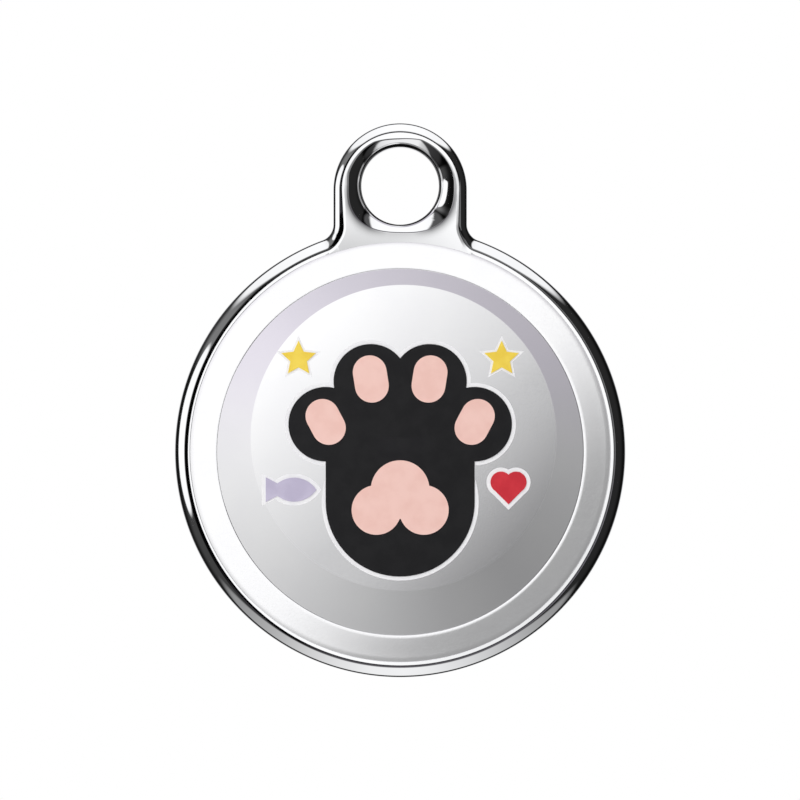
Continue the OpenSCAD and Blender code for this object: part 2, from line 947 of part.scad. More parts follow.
module buzzer() {
    color("black")
        difference() {
            chip(buzzer_at, [buzzer_w, buzzer_w, buzzer_h]);
            translate([buzzer_at[0], buzzer_at[1], parts_z + buzzer_h - 0.5])
                cylinder(d = 1, h = 0.5 + lap);
        }
}

module pulse_capacitor() {
    color("goldenrod")
        chip(capacitor_at, [capacitor_size[0], capacitor_size[1], capacitor_h]);
}

// Rows of resistors and capacitors near the rim of the board
module small_parts() {
    color("sienna") {
        around(board_r - 2.2, [122, 130, 138, 146, 313, 319, 325])
            chip([0, 0], small_part);
        around(board_r - 1.4, [174, 181, 188, 243, 250, 257, 264])
            chip([0, 0], small_part);
    }
}

// Spring that joins the radio to the frame, which is the long-range antenna
module antenna_spring() {
    color("gold")
        rotate([0, 0, feed_angle])
            translate([0, feed_w / 2, 0])
                rotate([90, 0, 0])
                    linear_extrude(height = feed_w)
                        polygon([
                            [feed_r - feed_foot, parts_z], [feed_r, parts_z],
                            [feed_r, parts_z + strip_t], [feed_r - feed_foot + 2 * strip_t, parts_z + strip_t],
                            [feed_end_r - feed_end + strip_t, ledge_z - strip_t],
                            [feed_end_r, ledge_z - strip_t], [feed_end_r, ledge_z],
                            [feed_end_r - feed_end, ledge_z], [feed_r - feed_foot, parts_z + 2 * strip_t]
                        ]);
}

dome_z = parts_z + 0.12;
dome_h = travel;
dome_t = 0.06;
dome_r = 1.1;
dome_ball_r = (dome_r * dome_r + dome_h * dome_h) / (2 * dome_h);

module switch_body() {
    color("black")
        difference() {
            chip([0, 0], [switch_w, switch_w, switch_h]);
            post(dome_r + 0.1, dome_z, dome_z + dome_h + 0.1);
            post(plunger_d / 2 + hole_gap + 0.02, dome_z, parts_z + switch_h + lap);
        }
}

// Snap dome under the plunger
module switch_dome() {
    color("silver")
        intersection() {
            difference() {
                translate([0, 0, dome_z + dome_h - dome_ball_r])
                    sphere(r = dome_ball_r);
                translate([0, 0, dome_z + dome_h - dome_ball_r])
                    sphere(r = dome_ball_r - dome_t);
            }
            post(dome_r, dome_z, dome_z + dome_h + lap);
        }
}

module switch_plunger() {
    color("ivory")
        post(plunger_d / 2, dome_z + dome_h + 0.02, parts_z + switch_h + plunger_rise);
}

hang() frame();
hang() front_band();
hang() diaphragm();
hang() button_disc();
hang() button_carrier();
hang() print_white();
hang() print_black();
hang() print_peach();
hang() print_lilac();
hang() print_red();
hang() print_yellow();
hang() rear_cover();
hang() cover_seal();
hang() cell_pad();
hang() cell_can();
hang() cell_cap();
hang() cell_insulator();
hang() chassis();
hang() frame_screws();
hang() main_board();
hang() board_screws();
hang() negative_spring();
hang() positive_spring();
hang() gnss_patch();
hang() gnss_face();
hang() modem_shield();
hang() modem_chip();
hang() processor();
hang() sim_chip();
hang() memory_chip();
hang() motion_sensor();
hang() crystal();
hang() buzzer();
hang() pulse_capacitor();
hang() small_parts();
hang() antenna_spring();
hang() switch_body();
hang() switch_dome();
hang() switch_plunger();
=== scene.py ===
# %% [markdown]
# # A pet tracker pendant, dressed for its picture
# The object is a round pendant of about 40 mm that hangs from a collar. A polished metal frame
# with a loop holds a silver front disc, a tracker board, a coin cell and a rear cover.
# The CAD frame gives every piece its place. This lesson adds what the CAD leaves plain: the
# polished sections of the frame, the lacquered disc and band, and a finish for each piece.

# %% Load the CAD frame
import math

import bmesh
import bpy
import numpy as np
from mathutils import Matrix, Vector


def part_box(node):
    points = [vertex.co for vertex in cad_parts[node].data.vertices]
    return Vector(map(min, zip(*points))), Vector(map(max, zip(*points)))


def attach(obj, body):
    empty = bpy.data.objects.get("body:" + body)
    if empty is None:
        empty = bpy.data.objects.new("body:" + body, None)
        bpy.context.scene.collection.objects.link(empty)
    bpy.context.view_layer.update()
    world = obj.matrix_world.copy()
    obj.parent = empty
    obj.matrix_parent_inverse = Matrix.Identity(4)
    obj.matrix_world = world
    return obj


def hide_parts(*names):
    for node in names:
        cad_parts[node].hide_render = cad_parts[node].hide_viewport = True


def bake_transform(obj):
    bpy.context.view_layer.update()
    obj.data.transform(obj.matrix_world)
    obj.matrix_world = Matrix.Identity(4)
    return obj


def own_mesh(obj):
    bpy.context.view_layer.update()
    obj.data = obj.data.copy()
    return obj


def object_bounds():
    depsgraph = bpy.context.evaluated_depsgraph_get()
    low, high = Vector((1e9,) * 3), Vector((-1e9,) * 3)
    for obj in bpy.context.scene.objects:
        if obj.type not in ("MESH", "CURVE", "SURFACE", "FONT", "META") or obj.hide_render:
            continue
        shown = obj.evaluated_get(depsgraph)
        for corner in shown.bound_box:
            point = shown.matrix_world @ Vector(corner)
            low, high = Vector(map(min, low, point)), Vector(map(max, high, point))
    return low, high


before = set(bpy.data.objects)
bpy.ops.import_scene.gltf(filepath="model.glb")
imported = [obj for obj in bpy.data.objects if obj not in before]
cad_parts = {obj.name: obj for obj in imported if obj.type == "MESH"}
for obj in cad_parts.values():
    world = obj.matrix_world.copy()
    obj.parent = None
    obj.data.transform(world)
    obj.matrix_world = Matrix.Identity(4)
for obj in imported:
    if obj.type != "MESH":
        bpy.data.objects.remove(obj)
cad_box = [[float(v) for v in corner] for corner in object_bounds()]
scene = bpy.context.scene
print("CAD nodes:", len(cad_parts), "box:", cad_box)

# %% [markdown]
# ## Measures of the frame
# A maker measures the frame with the pendant on its back, in millimetres: x to the right, y to
# the loop from the centre of the disc, and a level from the back to the front. The box of the
# CAD frame says where that lies in the scene, so only radii and levels are written here.

# %% Measures
low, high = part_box("frame")
BODY_R = (high.x - low.x) * 500
CENTRE_Z = low.z + BODY_R / 1000
CREST = 12.9
LOOP_R = 5.93
LOOP_TOP = (high.z - CENTRE_Z) * 1000
LOOP_Y = LOOP_TOP - LOOP_R
BORE_R = 3.45
BORE_Y = -CENTRE_Z * 1000
NECK_R = 1.5
WALL_R = 18.76
BAND_OUT, BAND_IN, DISC_R = 18.75, 16.26, 16.25


def place(points):
    """Bench millimetres to the metres of the scene."""
    p = np.asarray(points, float)
    x, y, level = p[..., 0], p[..., 1], p[..., 2]
    return np.stack([x / 1000, low.y + (CREST - level) / 1000, CENTRE_Z + y / 1000], -1)


print(f"body radius {BODY_R:.2f} mm, loop top {LOOP_TOP:.2f} mm, bore centre {BORE_Y:.2f} mm")

# %% [markdown]
# ## Sheets of quads
# Polished metal shows every flat spot, so its surfaces are made as fine sheets of quads that
# follow a drawn section. A sheet is a grid of points. Several sheets make one piece, and edges
# that turn by more than a set angle stay crisp. A sheet can carry painted shade: a number for
# each point that says how far the shine is painted dark there, in place of shade and dark
# reflections.

# %% Helper: build a piece from sheets
WELD = 2e-7


def sheet_faces(n, m, closed, first):
    """The quads of a grid of n by m points, whose first point has the number first."""
    faces = []
    for i in range(n if closed else n - 1):
        for j in range(m - 1):
            a, b = first + i * m + j, first + ((i + 1) % n) * m + j
            faces.append((a, a + 1, b + 1, b))
    return faces


def build_piece(name, sheets, crisp=40):
    """One object from sheets, each (points, closed) or (points, closed, painted shade)."""
    points, faces, painted_shade, count = [], [], [], 0
    for grid, closed, *marks in sheets:
        n, m = grid.shape[:2]
        points.append(place(grid).reshape(-1, 3))
        painted_shade.append(np.broadcast_to(marks[0] if marks else 0.0, (n, m)).ravel())
        faces += sheet_faces(n, m, closed, count)
        count += n * m
    mesh = bpy.data.meshes.new(name)
    mesh.from_pydata(np.concatenate(points).tolist(), [], faces)
    # The painted shade becomes a point attribute that paints the chrome dark where shade falls.
    painted_shade = np.concatenate(painted_shade).astype(np.float32)
    if painted_shade.any():
        mesh.attributes.new("painted_shade", "FLOAT", "POINT").data.foreach_set("value", painted_shade)
    bm = bmesh.new()
    bm.from_mesh(mesh)
    bmesh.ops.remove_doubles(bm, verts=bm.verts, dist=WELD)
    bm.to_mesh(mesh)
    bm.free()
    mesh.polygons.foreach_set("use_smooth", [True] * len(mesh.polygons))
    mesh.set_sharp_from_angle(angle=math.radians(crisp))
    mesh.update()
    piece = bpy.data.objects.new(name, mesh)
    scene.collection.objects.link(piece)
    print(name, "faces:", len(mesh.polygons))
    return piece


print("weld distance:", WELD, "m")


# %% Helpers: turned and rounded sections
def spin(section, steps=256, start=0.0, sweep=2 * math.pi):
    """Turns a section of (radius, level) pairs round the axis of the disc."""
    closed = sweep > 6.28
    angles = start + sweep * np.arange(steps if closed else steps + 1) / steps
    s = np.asarray(section, float)
    x = np.cos(angles)[:, None] * s[None, :, 0]
    y = np.sin(angles)[:, None] * s[None, :, 0]
    return np.stack([x, y, np.broadcast_to(s[:, 1], x.shape)], -1), closed


def arc(cx, cz, r, from_deg, to_deg, n):
    """Points of a round in a section, with 90 degrees at the top."""
    t = np.radians(np.linspace(from_deg, to_deg, n))
    return [(cx + r * math.cos(a), cz + r * math.sin(a)) for a in t]


def runs(start, parts):
    """Points of a section: each part is (width, tilt at its start, tilt at its end, steps)."""
    points = [start]
    for width, tilt_a, tilt_b, n in parts:
        tilts = np.radians(np.linspace(tilt_a, tilt_b, 2 * n + 1)[1::2])
        for t in tilts:
            d, z = points[-1]
            points.append((d + width / n, z + math.tan(t) * width / n))
    return points[1:]


print("1 mm tilting from 0 to 40 degrees rises", round(runs((0, 0), [(1, 0, 40, 20)])[-1][1], 3), "mm")

# %% [markdown]
# ## The outline of the frame
# Seen from the front, the frame is a circle that runs through two small hollow rounds into the
# loop. The polished rim follows that outline without a break, so the outline is drawn once as
# points with their outward directions, and the rim's section is then swept along it.

# %% The outline
neck_x = LOOP_R + NECK_R
neck_y = math.sqrt((BODY_R + NECK_R) ** 2 - neck_x**2)
tangent = math.atan2(neck_y, neck_x)


def outline():
    """Rows of x, y, the outward direction, and a weight: 0 on the circle and 1 on the loop."""

    def span(a, b, n):
        return np.linspace(a, b, n, endpoint=False)

    def ease(t):
        t = np.clip(t * 1.6, 0, 1)
        return t * t * (3 - 2 * t)

    def rows(*columns):
        return np.stack(np.broadcast_arrays(*columns), 1)

    t = span(math.pi - tangent, 2 * math.pi + tangent, 300)
    ring = rows(BODY_R * np.cos(t), BODY_R * np.sin(t), np.cos(t), np.sin(t), 0.0)
    t, w = span(math.pi + tangent, math.pi, 20), ease(span(0, 1, 20))
    neck = rows(neck_x + NECK_R * np.cos(t), neck_y + NECK_R * np.sin(t), -np.cos(t), -np.sin(t), w)
    side = rows(LOOP_R, span(neck_y, LOOP_Y, 14), 1.0, 0.0, 1.0)
    t = span(0, math.pi, 96)
    top = rows(LOOP_R * np.cos(t), LOOP_Y + LOOP_R * np.sin(t), np.cos(t), np.sin(t), 1.0)
    far_side = rows(-LOOP_R, span(LOOP_Y, neck_y, 14), -1.0, 0.0, 1.0)
    t, w = span(0, -tangent, 20), ease(1 - span(0, 1, 20))
    far_neck = rows(-neck_x + NECK_R * np.cos(t), neck_y + NECK_R * np.sin(t), -np.cos(t), -np.sin(t), w)
    return np.concatenate([ring, neck, side, top, far_side, far_neck])


PATH = outline()
print("outline points:", len(PATH), "neck at", round(neck_x, 2), round(neck_y, 2))

# %% [markdown]
# ## The polished rim and the loop
# On the real frame the rim is a polished bead: a rounded outer edge, a sloping land, a fine
# groove and a narrow lip. A bevel of the CAD solid can't change along its way, so the section is
# drawn as short runs, each with a width and the tilt of its surface, and swept along the
# outline. On the loop the bead is smaller and its lip runs on as the front of the loop.

# %% Sections of the rim
EDGE_ROUND = 0.55
LIP_LEVEL, LOOP_LEVEL, SEAT_LEVEL = 12.48, 12.83, 12.375
LIP_REACH, SEAT_REACH = 1.34, 1.40
GROOVE_DROP = 0.03
TAIL = 10

edge_round = arc(EDGE_ROUND, 0, EDGE_ROUND, 180, 128, 16)
bead = edge_round + runs(edge_round[-1], [(0.68, 38, 24.5, 10)])
bead = np.array(bead) + np.array([0, CREST - max(z for _, z in bead)])


def loop_level(x, y):
    """The front of the loop falls from its top to the seat of the band."""
    down = np.clip((LOOP_TOP - 1.25 - np.hypot(x, y)) / 9.3, 0, 1)
    return LOOP_LEVEL - (LOOP_LEVEL - SEAT_LEVEL) * down**1.6


def rim_section(size, level, kind, groove_w):
    """Side, bead, groove and lip for one place of the outline, as (depth from it, level)."""
    top = bead * size + np.array([0, CREST * (1 - size)])
    d, z = top[-1]
    fall = z - level + GROOVE_DROP
    wall_d = d + max(0.1 * size, groove_w * fall / 3)
    lip_d = wall_d + 0.02
    groove = [(d + (wall_d - d) * t, z - fall * t) for t in (0.33, 0.67, 1)]
    groove += [(wall_d + 0.012, level - GROOVE_DROP), (lip_d, level)]
    if kind == "loop":
        tail = [(lip_d + 0.02 * i, level) for i in range(1, TAIL + 1)]
    elif kind == "neck":
        tail = [(lip_d + (SEAT_REACH - lip_d) * i / TAIL, level) for i in range(1, TAIL + 1)]
    else:
        tail = [(lip_d + (LIP_REACH - 0.015 - lip_d) * t, level) for t in (0.2, 0.4, 0.6, 0.8, 1)]
        tail += [(LIP_REACH, level - 0.012), (LIP_REACH, 0.5 * (level + 12.36)), (LIP_REACH, 12.37)]
        tail += [(LIP_REACH - 0.1, 12.365), (LIP_REACH - 0.1, 12.1)]
    side = [(0, 8.52), (0, 9.8), (0, 11.2), (0, top[0, 1] - 0.1)]
    return np.concatenate([side, top, groove, tail])


print("bead:", len(bead), "points,", bead[-1, 0].round(2), "mm wide")

# %% [markdown]
# The groove is wider on the left and narrower at the top. Beside the necks the lip sinks to the
# level of the loop's front, so that the two meet without a step.

# %% Sweep the rim
LOOP_GROOVE = 1.5
SINK_DEG = 14


def rim_row(x, y, nx, ny, w):
    """The points of the section at one place of the outline."""
    groove_w = 1 + 0.8 * max(0, -nx) ** 1.5 - 0.45 * max(0, ny) ** 4
    if w > 0:
        level = float(loop_level(x - LIP_REACH * nx, y - LIP_REACH * ny))
        size = 0.62 + 0.20 * max(0, (y - LOOP_Y) / LOOP_R) ** 1.5
        wide = rim_section(1.0, level, "neck", groove_w)
        small = rim_section(size, level, "loop", LOOP_GROOVE * groove_w)
        section = wide * (1 - w) + small * w
    else:
        from_neck = math.degrees(math.acos(min(1, y / BODY_R))) - (90 - math.degrees(tangent))
        rise = 0.5 - 0.5 * math.cos(math.pi * np.clip(from_neck / SINK_DEG, 0, 1))
        section = rim_section(1.0, SEAT_LEVEL + (LIP_LEVEL - SEAT_LEVEL) * rise, "ring", groove_w)
    points = np.stack([x - nx * section[:, 0], y - ny * section[:, 0], section[:, 1]], 1)
    if w > 0:
        tail = points[-TAIL:]
        tail[:, 2] += (loop_level(tail[:, 0], tail[:, 1]) - tail[:, 2]) * np.linspace(0.1, 1, TAIL)
    return points


front_rim = np.array([rim_row(*row) for row in PATH])
# The groove and the start of the lip are painted dark: painted shade in the groove, a little weaker on the
# loop.
groove_from = 4 + len(bead) - 1
rim_painted_shade = np.zeros(front_rim.shape[:2])
smear_and_shade_weight = np.where(PATH[:, 4] > 0, 0.94, 1.0)[:, None]
rim_painted_shade[:, groove_from : groove_from + 6] = smear_and_shade_weight * [0.9, 1, 1, 1, 1, 0.1]
print("rim sheet:", front_rim.shape)

# %% [markdown]
# ## The dish round the bore
# The loop is dished round its hole: the front rolls over into a slope, then a small flat ledge
# and a steep edge lead into the bore. Seen in polished metal, the slope makes the dark crescents
# beside the hole and the bright patches above and below it. It is a fan of quads whose height is
# summed from the tilt of the surface, so each run reflects one part of the studio.

# %% Helpers: a dish and its edge
OVAL = 2.6
ROLL_N, SLOPE_N, LEDGE_N, STEEP_N = 6, 10, 3, 6


def dish_runs(a, width):
    """The runs of the dish in the direction a, from its edge down to the bore."""
    steep = 0.12 + 0.1 * math.sqrt(max(0, 1 + math.sin(a)))
    roll, ledge = 0.11 + 0.1 * math.cos(a) ** 2, 0.12
    hollow = max(0, math.cos(a)) ** 0.7
    tilt_a, tilt_b = 25 + 18 * hollow, 38 - 7 * hollow
    parts = [(roll, 0, tilt_a, ROLL_N), (width - roll - ledge - steep, tilt_a, tilt_b, SLOPE_N)]
    return parts + [(ledge, 8, 4, LEDGE_N), (steep, 55, 75, STEEP_N)]


def fan(edge, half_w, half_h, level, side=1):
    """A dish from the bore to the points of edge, which go once round it."""
    dx, dy = edge[:, 0], edge[:, 1] - BORE_Y
    angle, reach = np.arctan2(dy, dx), np.hypot(dx, dy)
    oval = (np.abs(np.cos(angle) / half_w) ** OVAL + np.abs(np.sin(angle) / half_h) ** OVAL) ** (-1 / OVAL)
    oval *= 1 + 0.02 * np.cos(angle)
    dish = np.minimum(oval, reach - 0.03)
    rays = []
    for a, r_dish, r_edge, end in zip(angle, dish, reach, edge):
        c, s = math.cos(a), math.sin(a)
        start_z = float(level(c * r_dish, BORE_Y + s * r_dish))
        down = [(0, 0)] + runs((0, 0), dish_runs(a, r_dish - BORE_R))
        line = [(r_dish - d, start_z - side * z) for d, z in down[::-1]]
        lift = end[2] - float(level(end[0], end[1]))
        for t in np.linspace(0, 1, 10)[1:] ** 1.5:
            r = r_dish + (r_edge - r_dish) * t
            line.append((r, float(level(c * r, BORE_Y + s * r)) + lift * t**2))
        line = np.array(line)
        rays.append(np.stack([c * line[:, 0], BORE_Y + s * line[:, 0], line[:, 1]], 1))
    return np.array(rays)


def close_edge(sheet, keep, ring_r, level, eased=True):
    """The edge of a dish: the inner line of the loop, closed along the round of the frame."""
    line = sheet[keep, -1]
    first, last = line[0], line[-1]
    t = np.linspace(math.atan2(last[1], last[0]), math.atan2(first[1], first[0]), 60)
    ends = [last[2], first[2]] if eased else [level, level]
    z = np.interp(np.linspace(0, 1, 60), [0, 0.1, 0.9, 1], [ends[0], level, level, ends[1]])
    base = np.stack([ring_r * np.cos(t), ring_r * np.sin(t), z], 1)
    return np.concatenate([line, base])


EDGE_COLUMN = ROLL_N + SLOPE_N + LEDGE_N + STEEP_N
print("columns from the bore to the edge of the dish:", EDGE_COLUMN)

# %% The dish
SEAT_R = 18.60
DISH_W, DISH_H = 4.86, 4.22
on_loop = np.nonzero(PATH[:, 4] > 0)[0]
keep = np.array([i for i in on_loop if np.hypot(*front_rim[i, -1, :2]) > 19.0])
front_edge = close_edge(front_rim, keep, SEAT_R, SEAT_LEVEL, eased=False)
front_dish = fan(front_edge, DISH_W, DISH_H, loop_level)

# Two slivers fill the corners between the rim, the round and the dish.
corners = []
for part in (on_loop[on_loop <= keep[0]], on_loop[on_loop >= keep[-1]]):
    line = front_rim[part, -1]
    inner = line.copy()
    scale = SEAT_R / np.hypot(line[:, 0], line[:, 1])
    inner[:, :2] *= np.minimum(scale, 1)[:, None]
    inner[:, 2] = np.minimum(inner[:, 2], SEAT_LEVEL)
    corners.append((np.stack([line, inner], 1), False))
bore_levels = front_dish[:, 0, 2]
print("dish:", front_dish.shape, "bore edge level:", bore_levels.min().round(2), bore_levels.max().round(2))

# %% [markdown]
# The dark crescents end in leaning lines beside the bright patches. Reflections alone do not
# give these ends, so they are painted dark as painted reflections, and painted shade draws the
# line round the bore and the line at the upper and lower edge of the dish. On the web below it
# the painted darkness fades out softly.

# %% Painted shade in the dish
ROLL_COLUMNS, SLOPE_COLUMNS = slice(20, EDGE_COLUMN), slice(7, 20)
bore_angle = np.arctan2(front_edge[:, 1] - BORE_Y, front_edge[:, 0])[:, None]
bore_deg = np.degrees(bore_angle)
lean = np.linspace(0, 1, 13)


def dark_between(begin, end, blur=3.0):
    """One between two angles, which may lean from the bore outwards, and nothing elsewhere."""
    return np.clip((bore_deg - begin) / blur + 0.5, 0, 1) * np.clip((end - bore_deg) / blur + 0.5, 0, 1)


dish_painted_shade = np.zeros(front_dish.shape[:2])
# Painted shade on the steep edge round the bore.
dish_painted_shade[:, :7] = [1, 1, 1, 1, 1, 1, 0.4]
# Painted shade on the roll at the upper and lower edge of the dish.
dish_painted_shade[:, 20:24] = 0.85 * np.sin(bore_angle) ** 2
# Painted reflections: the dark ends of the crescents.
dark_ends = [dark_between(-34 - 23 * lean, -33), dark_between(-149 + 12 * lean, -138 + 14 * lean)]
dark_ends += [dark_between(24, 43 + 23 * lean), dark_between(132 - 19 * lean, 150 - 12 * lean)]
dish_painted_shade[:, SLOPE_COLUMNS] = 0.93 * np.max(dark_ends, axis=0)

# Painted darkness that fades out over the web below the dish.
FADE_DEG = [-180, -160, -125, -105, -75, -55, -20, 10, 40, 140, 170]
FADE_WEIGHT = [0.6, 1, 1, 0.3, 0.3, 1, 1, 0.6, 0, 0, 0.5]
FADE_REACH, FADE_MOST = 0.9, 0.75
fade = FADE_MOST * np.interp(bore_deg, FADE_DEG, FADE_WEIGHT)
from_bore = np.hypot(front_dish[:, :, 0], front_dish[:, :, 1] - BORE_Y)
past_edge = from_bore[:, EDGE_COLUMN:] - from_bore[:, EDGE_COLUMN : EDGE_COLUMN + 1]
dish_painted_shade[:, EDGE_COLUMN:] = fade * np.clip(1 - past_edge / FADE_REACH, 0, 1) ** 2
dish_painted_shade[:, ROLL_COLUMNS] = np.maximum(dish_painted_shade[:, ROLL_COLUMNS], fade)
print("painted dark share of the dish:", (dish_painted_shade > 0.5).mean().round(3))

# %% [markdown]
# ## The back of the loop and the round wall
# The back of the loop is simpler: a half-round bead and a shallow dish. The round wall runs to a
# rounded back edge, and inside it are the ledge, the bayonet tabs and the screw bosses.

# %% The back of the loop and the bore
BACK_LEVEL, BACK_ROUND = 8.3, 0.62
bead_back = arc(BACK_ROUND, 8.52, BACK_ROUND, 180, 305, 18)
bead_back += [(1.02, 8.10), (1.10, 8.19), (1.2, 8.26), (1.34, BACK_LEVEL)]
back_path = PATH[np.concatenate([[on_loop[0] - 1], on_loop, [(on_loop[-1] + 1) % len(PATH)]])]
back_rim = np.array([[(x - nx * d, y - ny * d, z) for d, z in bead_back] for x, y, nx, ny, _ in back_path])
far = np.hypot(back_rim[:, -1, 0], back_rim[:, -1, 1])
back_keep = np.nonzero((far > 19.7) & (back_rim[:, -1, 1] > 19))[0]
back_edge = close_edge(back_rim, back_keep, 19.6, BACK_LEVEL)
back_dish = fan(back_edge, 4.5, 4.3, lambda x, y: BACK_LEVEL, side=-1)
bore_line = front_dish[:, 0]
bore_end = bore_line.copy()
bore_end[:, 2] = 9.0
bore = np.stack([bore_line * (1 - t) + bore_end * t for t in (0, 0.04, 0.1, 0.3, 0.5, 0.75, 1)], 1)
# The edge of the bore is painted dark: painted shade.
bore_painted_shade = np.array([1, 0.6, 0, 0, 0, 0, 0])
print("back sheets:", back_rim.shape, back_dish.shape, "bore:", bore.shape)

# %% The wall, and the frame as one piece
BOSS_RING = 17.46
wall = [(BODY_R, 8.53), (BODY_R, 5), (BODY_R, 2), (BODY_R, 0.7)]
wall += [(BODY_R - d, z) for d, z in arc(BACK_ROUND, BACK_ROUND, BACK_ROUND, 180, 360, 24)]
wall += [(WALL_R, 3), (WALL_R, 6), (WALL_R, 9), (WALL_R, 12.2)]
ledge = [(WALL_R, 9.56), (15.36, 9.56), (15.26, 9.66), (15.26, 10.26), (15.36, 10.36), (WALL_R, 10.36)]
tab = [(WALL_R, 1.83), (17.56, 1.83), (17.46, 1.93), (17.46, 2.53), (17.56, 2.63), (WALL_R, 2.63)]
boss = [(0.62, 7.8), (1.15, 7.8), (1.25, 7.9), (1.25, 9.6)]
inside = [spin(ledge)] + [spin(tab, 24, math.radians(a - 23), math.radians(46)) for a in (90, 210, 330)]
for a in (30, 150, 270):
    at = np.array([BOSS_RING * math.cos(math.radians(a)), BOSS_RING * math.sin(math.radians(a)), 0])
    inside.append((spin(boss, 40)[0] + at, True))

frame_sheets = [(front_rim, True, rim_painted_shade), (front_dish, True, dish_painted_shade), (bore, True, bore_painted_shade)]
frame_sheets += [(back_rim, False), (back_dish, True), spin(wall, 320)]
polished_frame = build_piece("polished_frame", frame_sheets + corners + inside, crisp=38)
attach(polished_frame, "housing")
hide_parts("frame")

# %% [markdown]
# ## The front band
# A flat silver band lies between the rim and the disc. It falls a little towards the rim, and
# its edges are rounded where a mould and polish would round them, so they catch a thin line of
# light.

# %% The band
band_section = (
    [(17.35, 11.16), (18.60, 11.16), (BAND_OUT, 11.26)]
    + [(BAND_OUT, 11.8), (BAND_OUT, 12.2)]
    + arc(BAND_OUT - 0.05, 12.305, 0.05, 0, 86, 6)
    + [(18.2, 12.383), (17.6, 12.42), (17.0, 12.457), (16.6, 12.481)]
    + arc(BAND_IN + 0.04, 12.457, 0.04, 90, 180, 6)
    + [(BAND_IN, 12.1), (BAND_IN, 11.8), (16.40, 11.70), (17.25, 11.70), (17.35, 11.60), (17.35, 11.16)]
)
silver_band = build_piece("silver_band", [spin(band_section, 288)], crisp=50)
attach(silver_band, "housing")
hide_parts("front_band")

# %% [markdown]
# ## The front disc
# The disc is a moulding with a crisp round face that stands a little high on it, so the slope
# round the face is narrow above and wide below. Face and slope are parts of two large balls.
# The CAD's own mesh is coarse on such flat domes, so the disc is drawn again with fine rings.

# %% The shape of the disc
SLOPE_BALL, FACE_BALL, FACE_R = 70.0, 250.0, 13.55
FACE_LIFT, FACE_SHIFT, EDGE_LEVEL = 1.26, 0.3, 12.55
EDGE_BEVEL, DISC_BACK, DISC_STEPS = 0.04, 11.66, 240
slope_z = EDGE_LEVEL - math.sqrt(SLOPE_BALL**2 - DISC_R**2)
face_far = math.sqrt(SLOPE_BALL**2 - FACE_R**2)
tilt = math.asin(FACE_LIFT / face_far)
face_z = face_far - math.sqrt(FACE_BALL**2 - FACE_R**2)
turn = np.linspace(0, 2 * math.pi, DISC_STEPS, endpoint=False)[:, None]
r = np.linspace(0.001, FACE_R, 40)[None, :]
x, y = np.cos(turn) * r + FACE_SHIFT, np.sin(turn) * r
z = np.sqrt(FACE_BALL**2 - x**2 - y**2) + face_z
up = y * math.cos(tilt) + z * math.sin(tilt)
face = np.stack([x, up, z * math.cos(tilt) - y * math.sin(tilt) + slope_z], -1)
print(f"face of the disc: {face.shape}, tilted {math.degrees(tilt):.2f} degrees")

# %% The disc
start = face[:, -1] - np.array([0, 0, slope_z])
rim_at = DISC_R - EDGE_BEVEL
finish_line = spin([(rim_at, math.sqrt(SLOPE_BALL**2 - rim_at**2))], DISC_STEPS)[0][:, 0]
slope = []
for t in np.linspace(0, 1, 12):
    v = start * (1 - t) + finish_line * t
    ball = np.linalg.norm(start, axis=1) * (1 - t) + SLOPE_BALL * t
    slope.append(v / np.linalg.norm(v, axis=1)[:, None] * ball[:, None] + np.array([0, 0, slope_z]))
slope = np.stack(slope, 1)
edge_top = slope[0, -1, 2]
side_wall = [(rim_at, edge_top)] + arc(rim_at, edge_top - EDGE_BEVEL, EDGE_BEVEL, 78, 0, 7)
side_wall += [(DISC_R, 12.2), (DISC_R, 11.9), (DISC_R, DISC_BACK), (8, DISC_BACK), (0, DISC_BACK)]
silver_disc = build_piece("silver_disc", [(face, True), (slope, True), spin(side_wall, DISC_STEPS)], crisp=5)
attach(silver_disc, "button")
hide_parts("button_disc")
print(f"disc: edge level {edge_top:.2f}")

# %% [markdown]
# ## The parts that give way
# Under the disc a silicone diaphragm seals the front. Its rim is clamped, its middle moves with
# the button and presses the switch through a short stem, and a thin web between them bends. One
# rigid solid would tear or cut into its neighbours, so it is split at the joint into a rim, a
# middle and a web. The steel dome of the switch snaps flat.

# %% Sections of the diaphragm and the snap dome
SEAL_LOW, SEAL_TOP = 10.862, 11.158
WEB_STILL, WEB_MOVED = 10.935, 11.07
DOME_LOW, DOME_R, DOME_RISE, DOME_THICK = 8.42, 1.1, 0.3, 0.06

seal_rim = [(17.38, SEAL_LOW), (18.62, SEAL_LOW), (18.68, 10.90), (18.68, 11.12), (18.62, SEAL_TOP)]
seal_rim += [(17.38, SEAL_TOP), (17.34, 11.12), (17.34, 10.90), (17.38, SEAL_LOW)]
seal_middle = [(0, 10.0), (1.05, 10.0), (1.15, 10.08), (1.15, 10.7), (1.2, 10.81), (1.32, SEAL_LOW)]
seal_middle += [(16.92, SEAL_LOW), (16.98, 10.91), (16.98, 11.11), (16.92, SEAL_TOP), (0, SEAL_TOP)]
seal_web = [(16.97, 11.135), (17.05, 11.12), (17.12, 11.07), (17.19, 11.0), (17.26, 10.95)]
seal_web += [(17.35, WEB_STILL), (17.35, 10.875), (17.25, 10.88), (17.15, 10.93), (17.08, 11.0)]
seal_web += [(17.02, 11.055), (16.97, WEB_MOVED), (16.97, 11.135)]
dome_ball = (DOME_R**2 + DOME_RISE**2) / (2 * DOME_RISE)
dome_centre = DOME_LOW + DOME_RISE - dome_ball
dome_line = [(r, dome_centre + math.sqrt(dome_ball**2 - r**2)) for r in np.linspace(0, DOME_R, 16)]
dome_section = [(r, max(DOME_LOW, z - DOME_THICK)) for r, z in dome_line[:14]]
dome_section += [(r, z - 0.02 * math.exp(-((r / 0.15) ** 2))) for r, z in dome_line[::-1]]
print("dome ball radius:", round(dome_ball, 3), "mm")


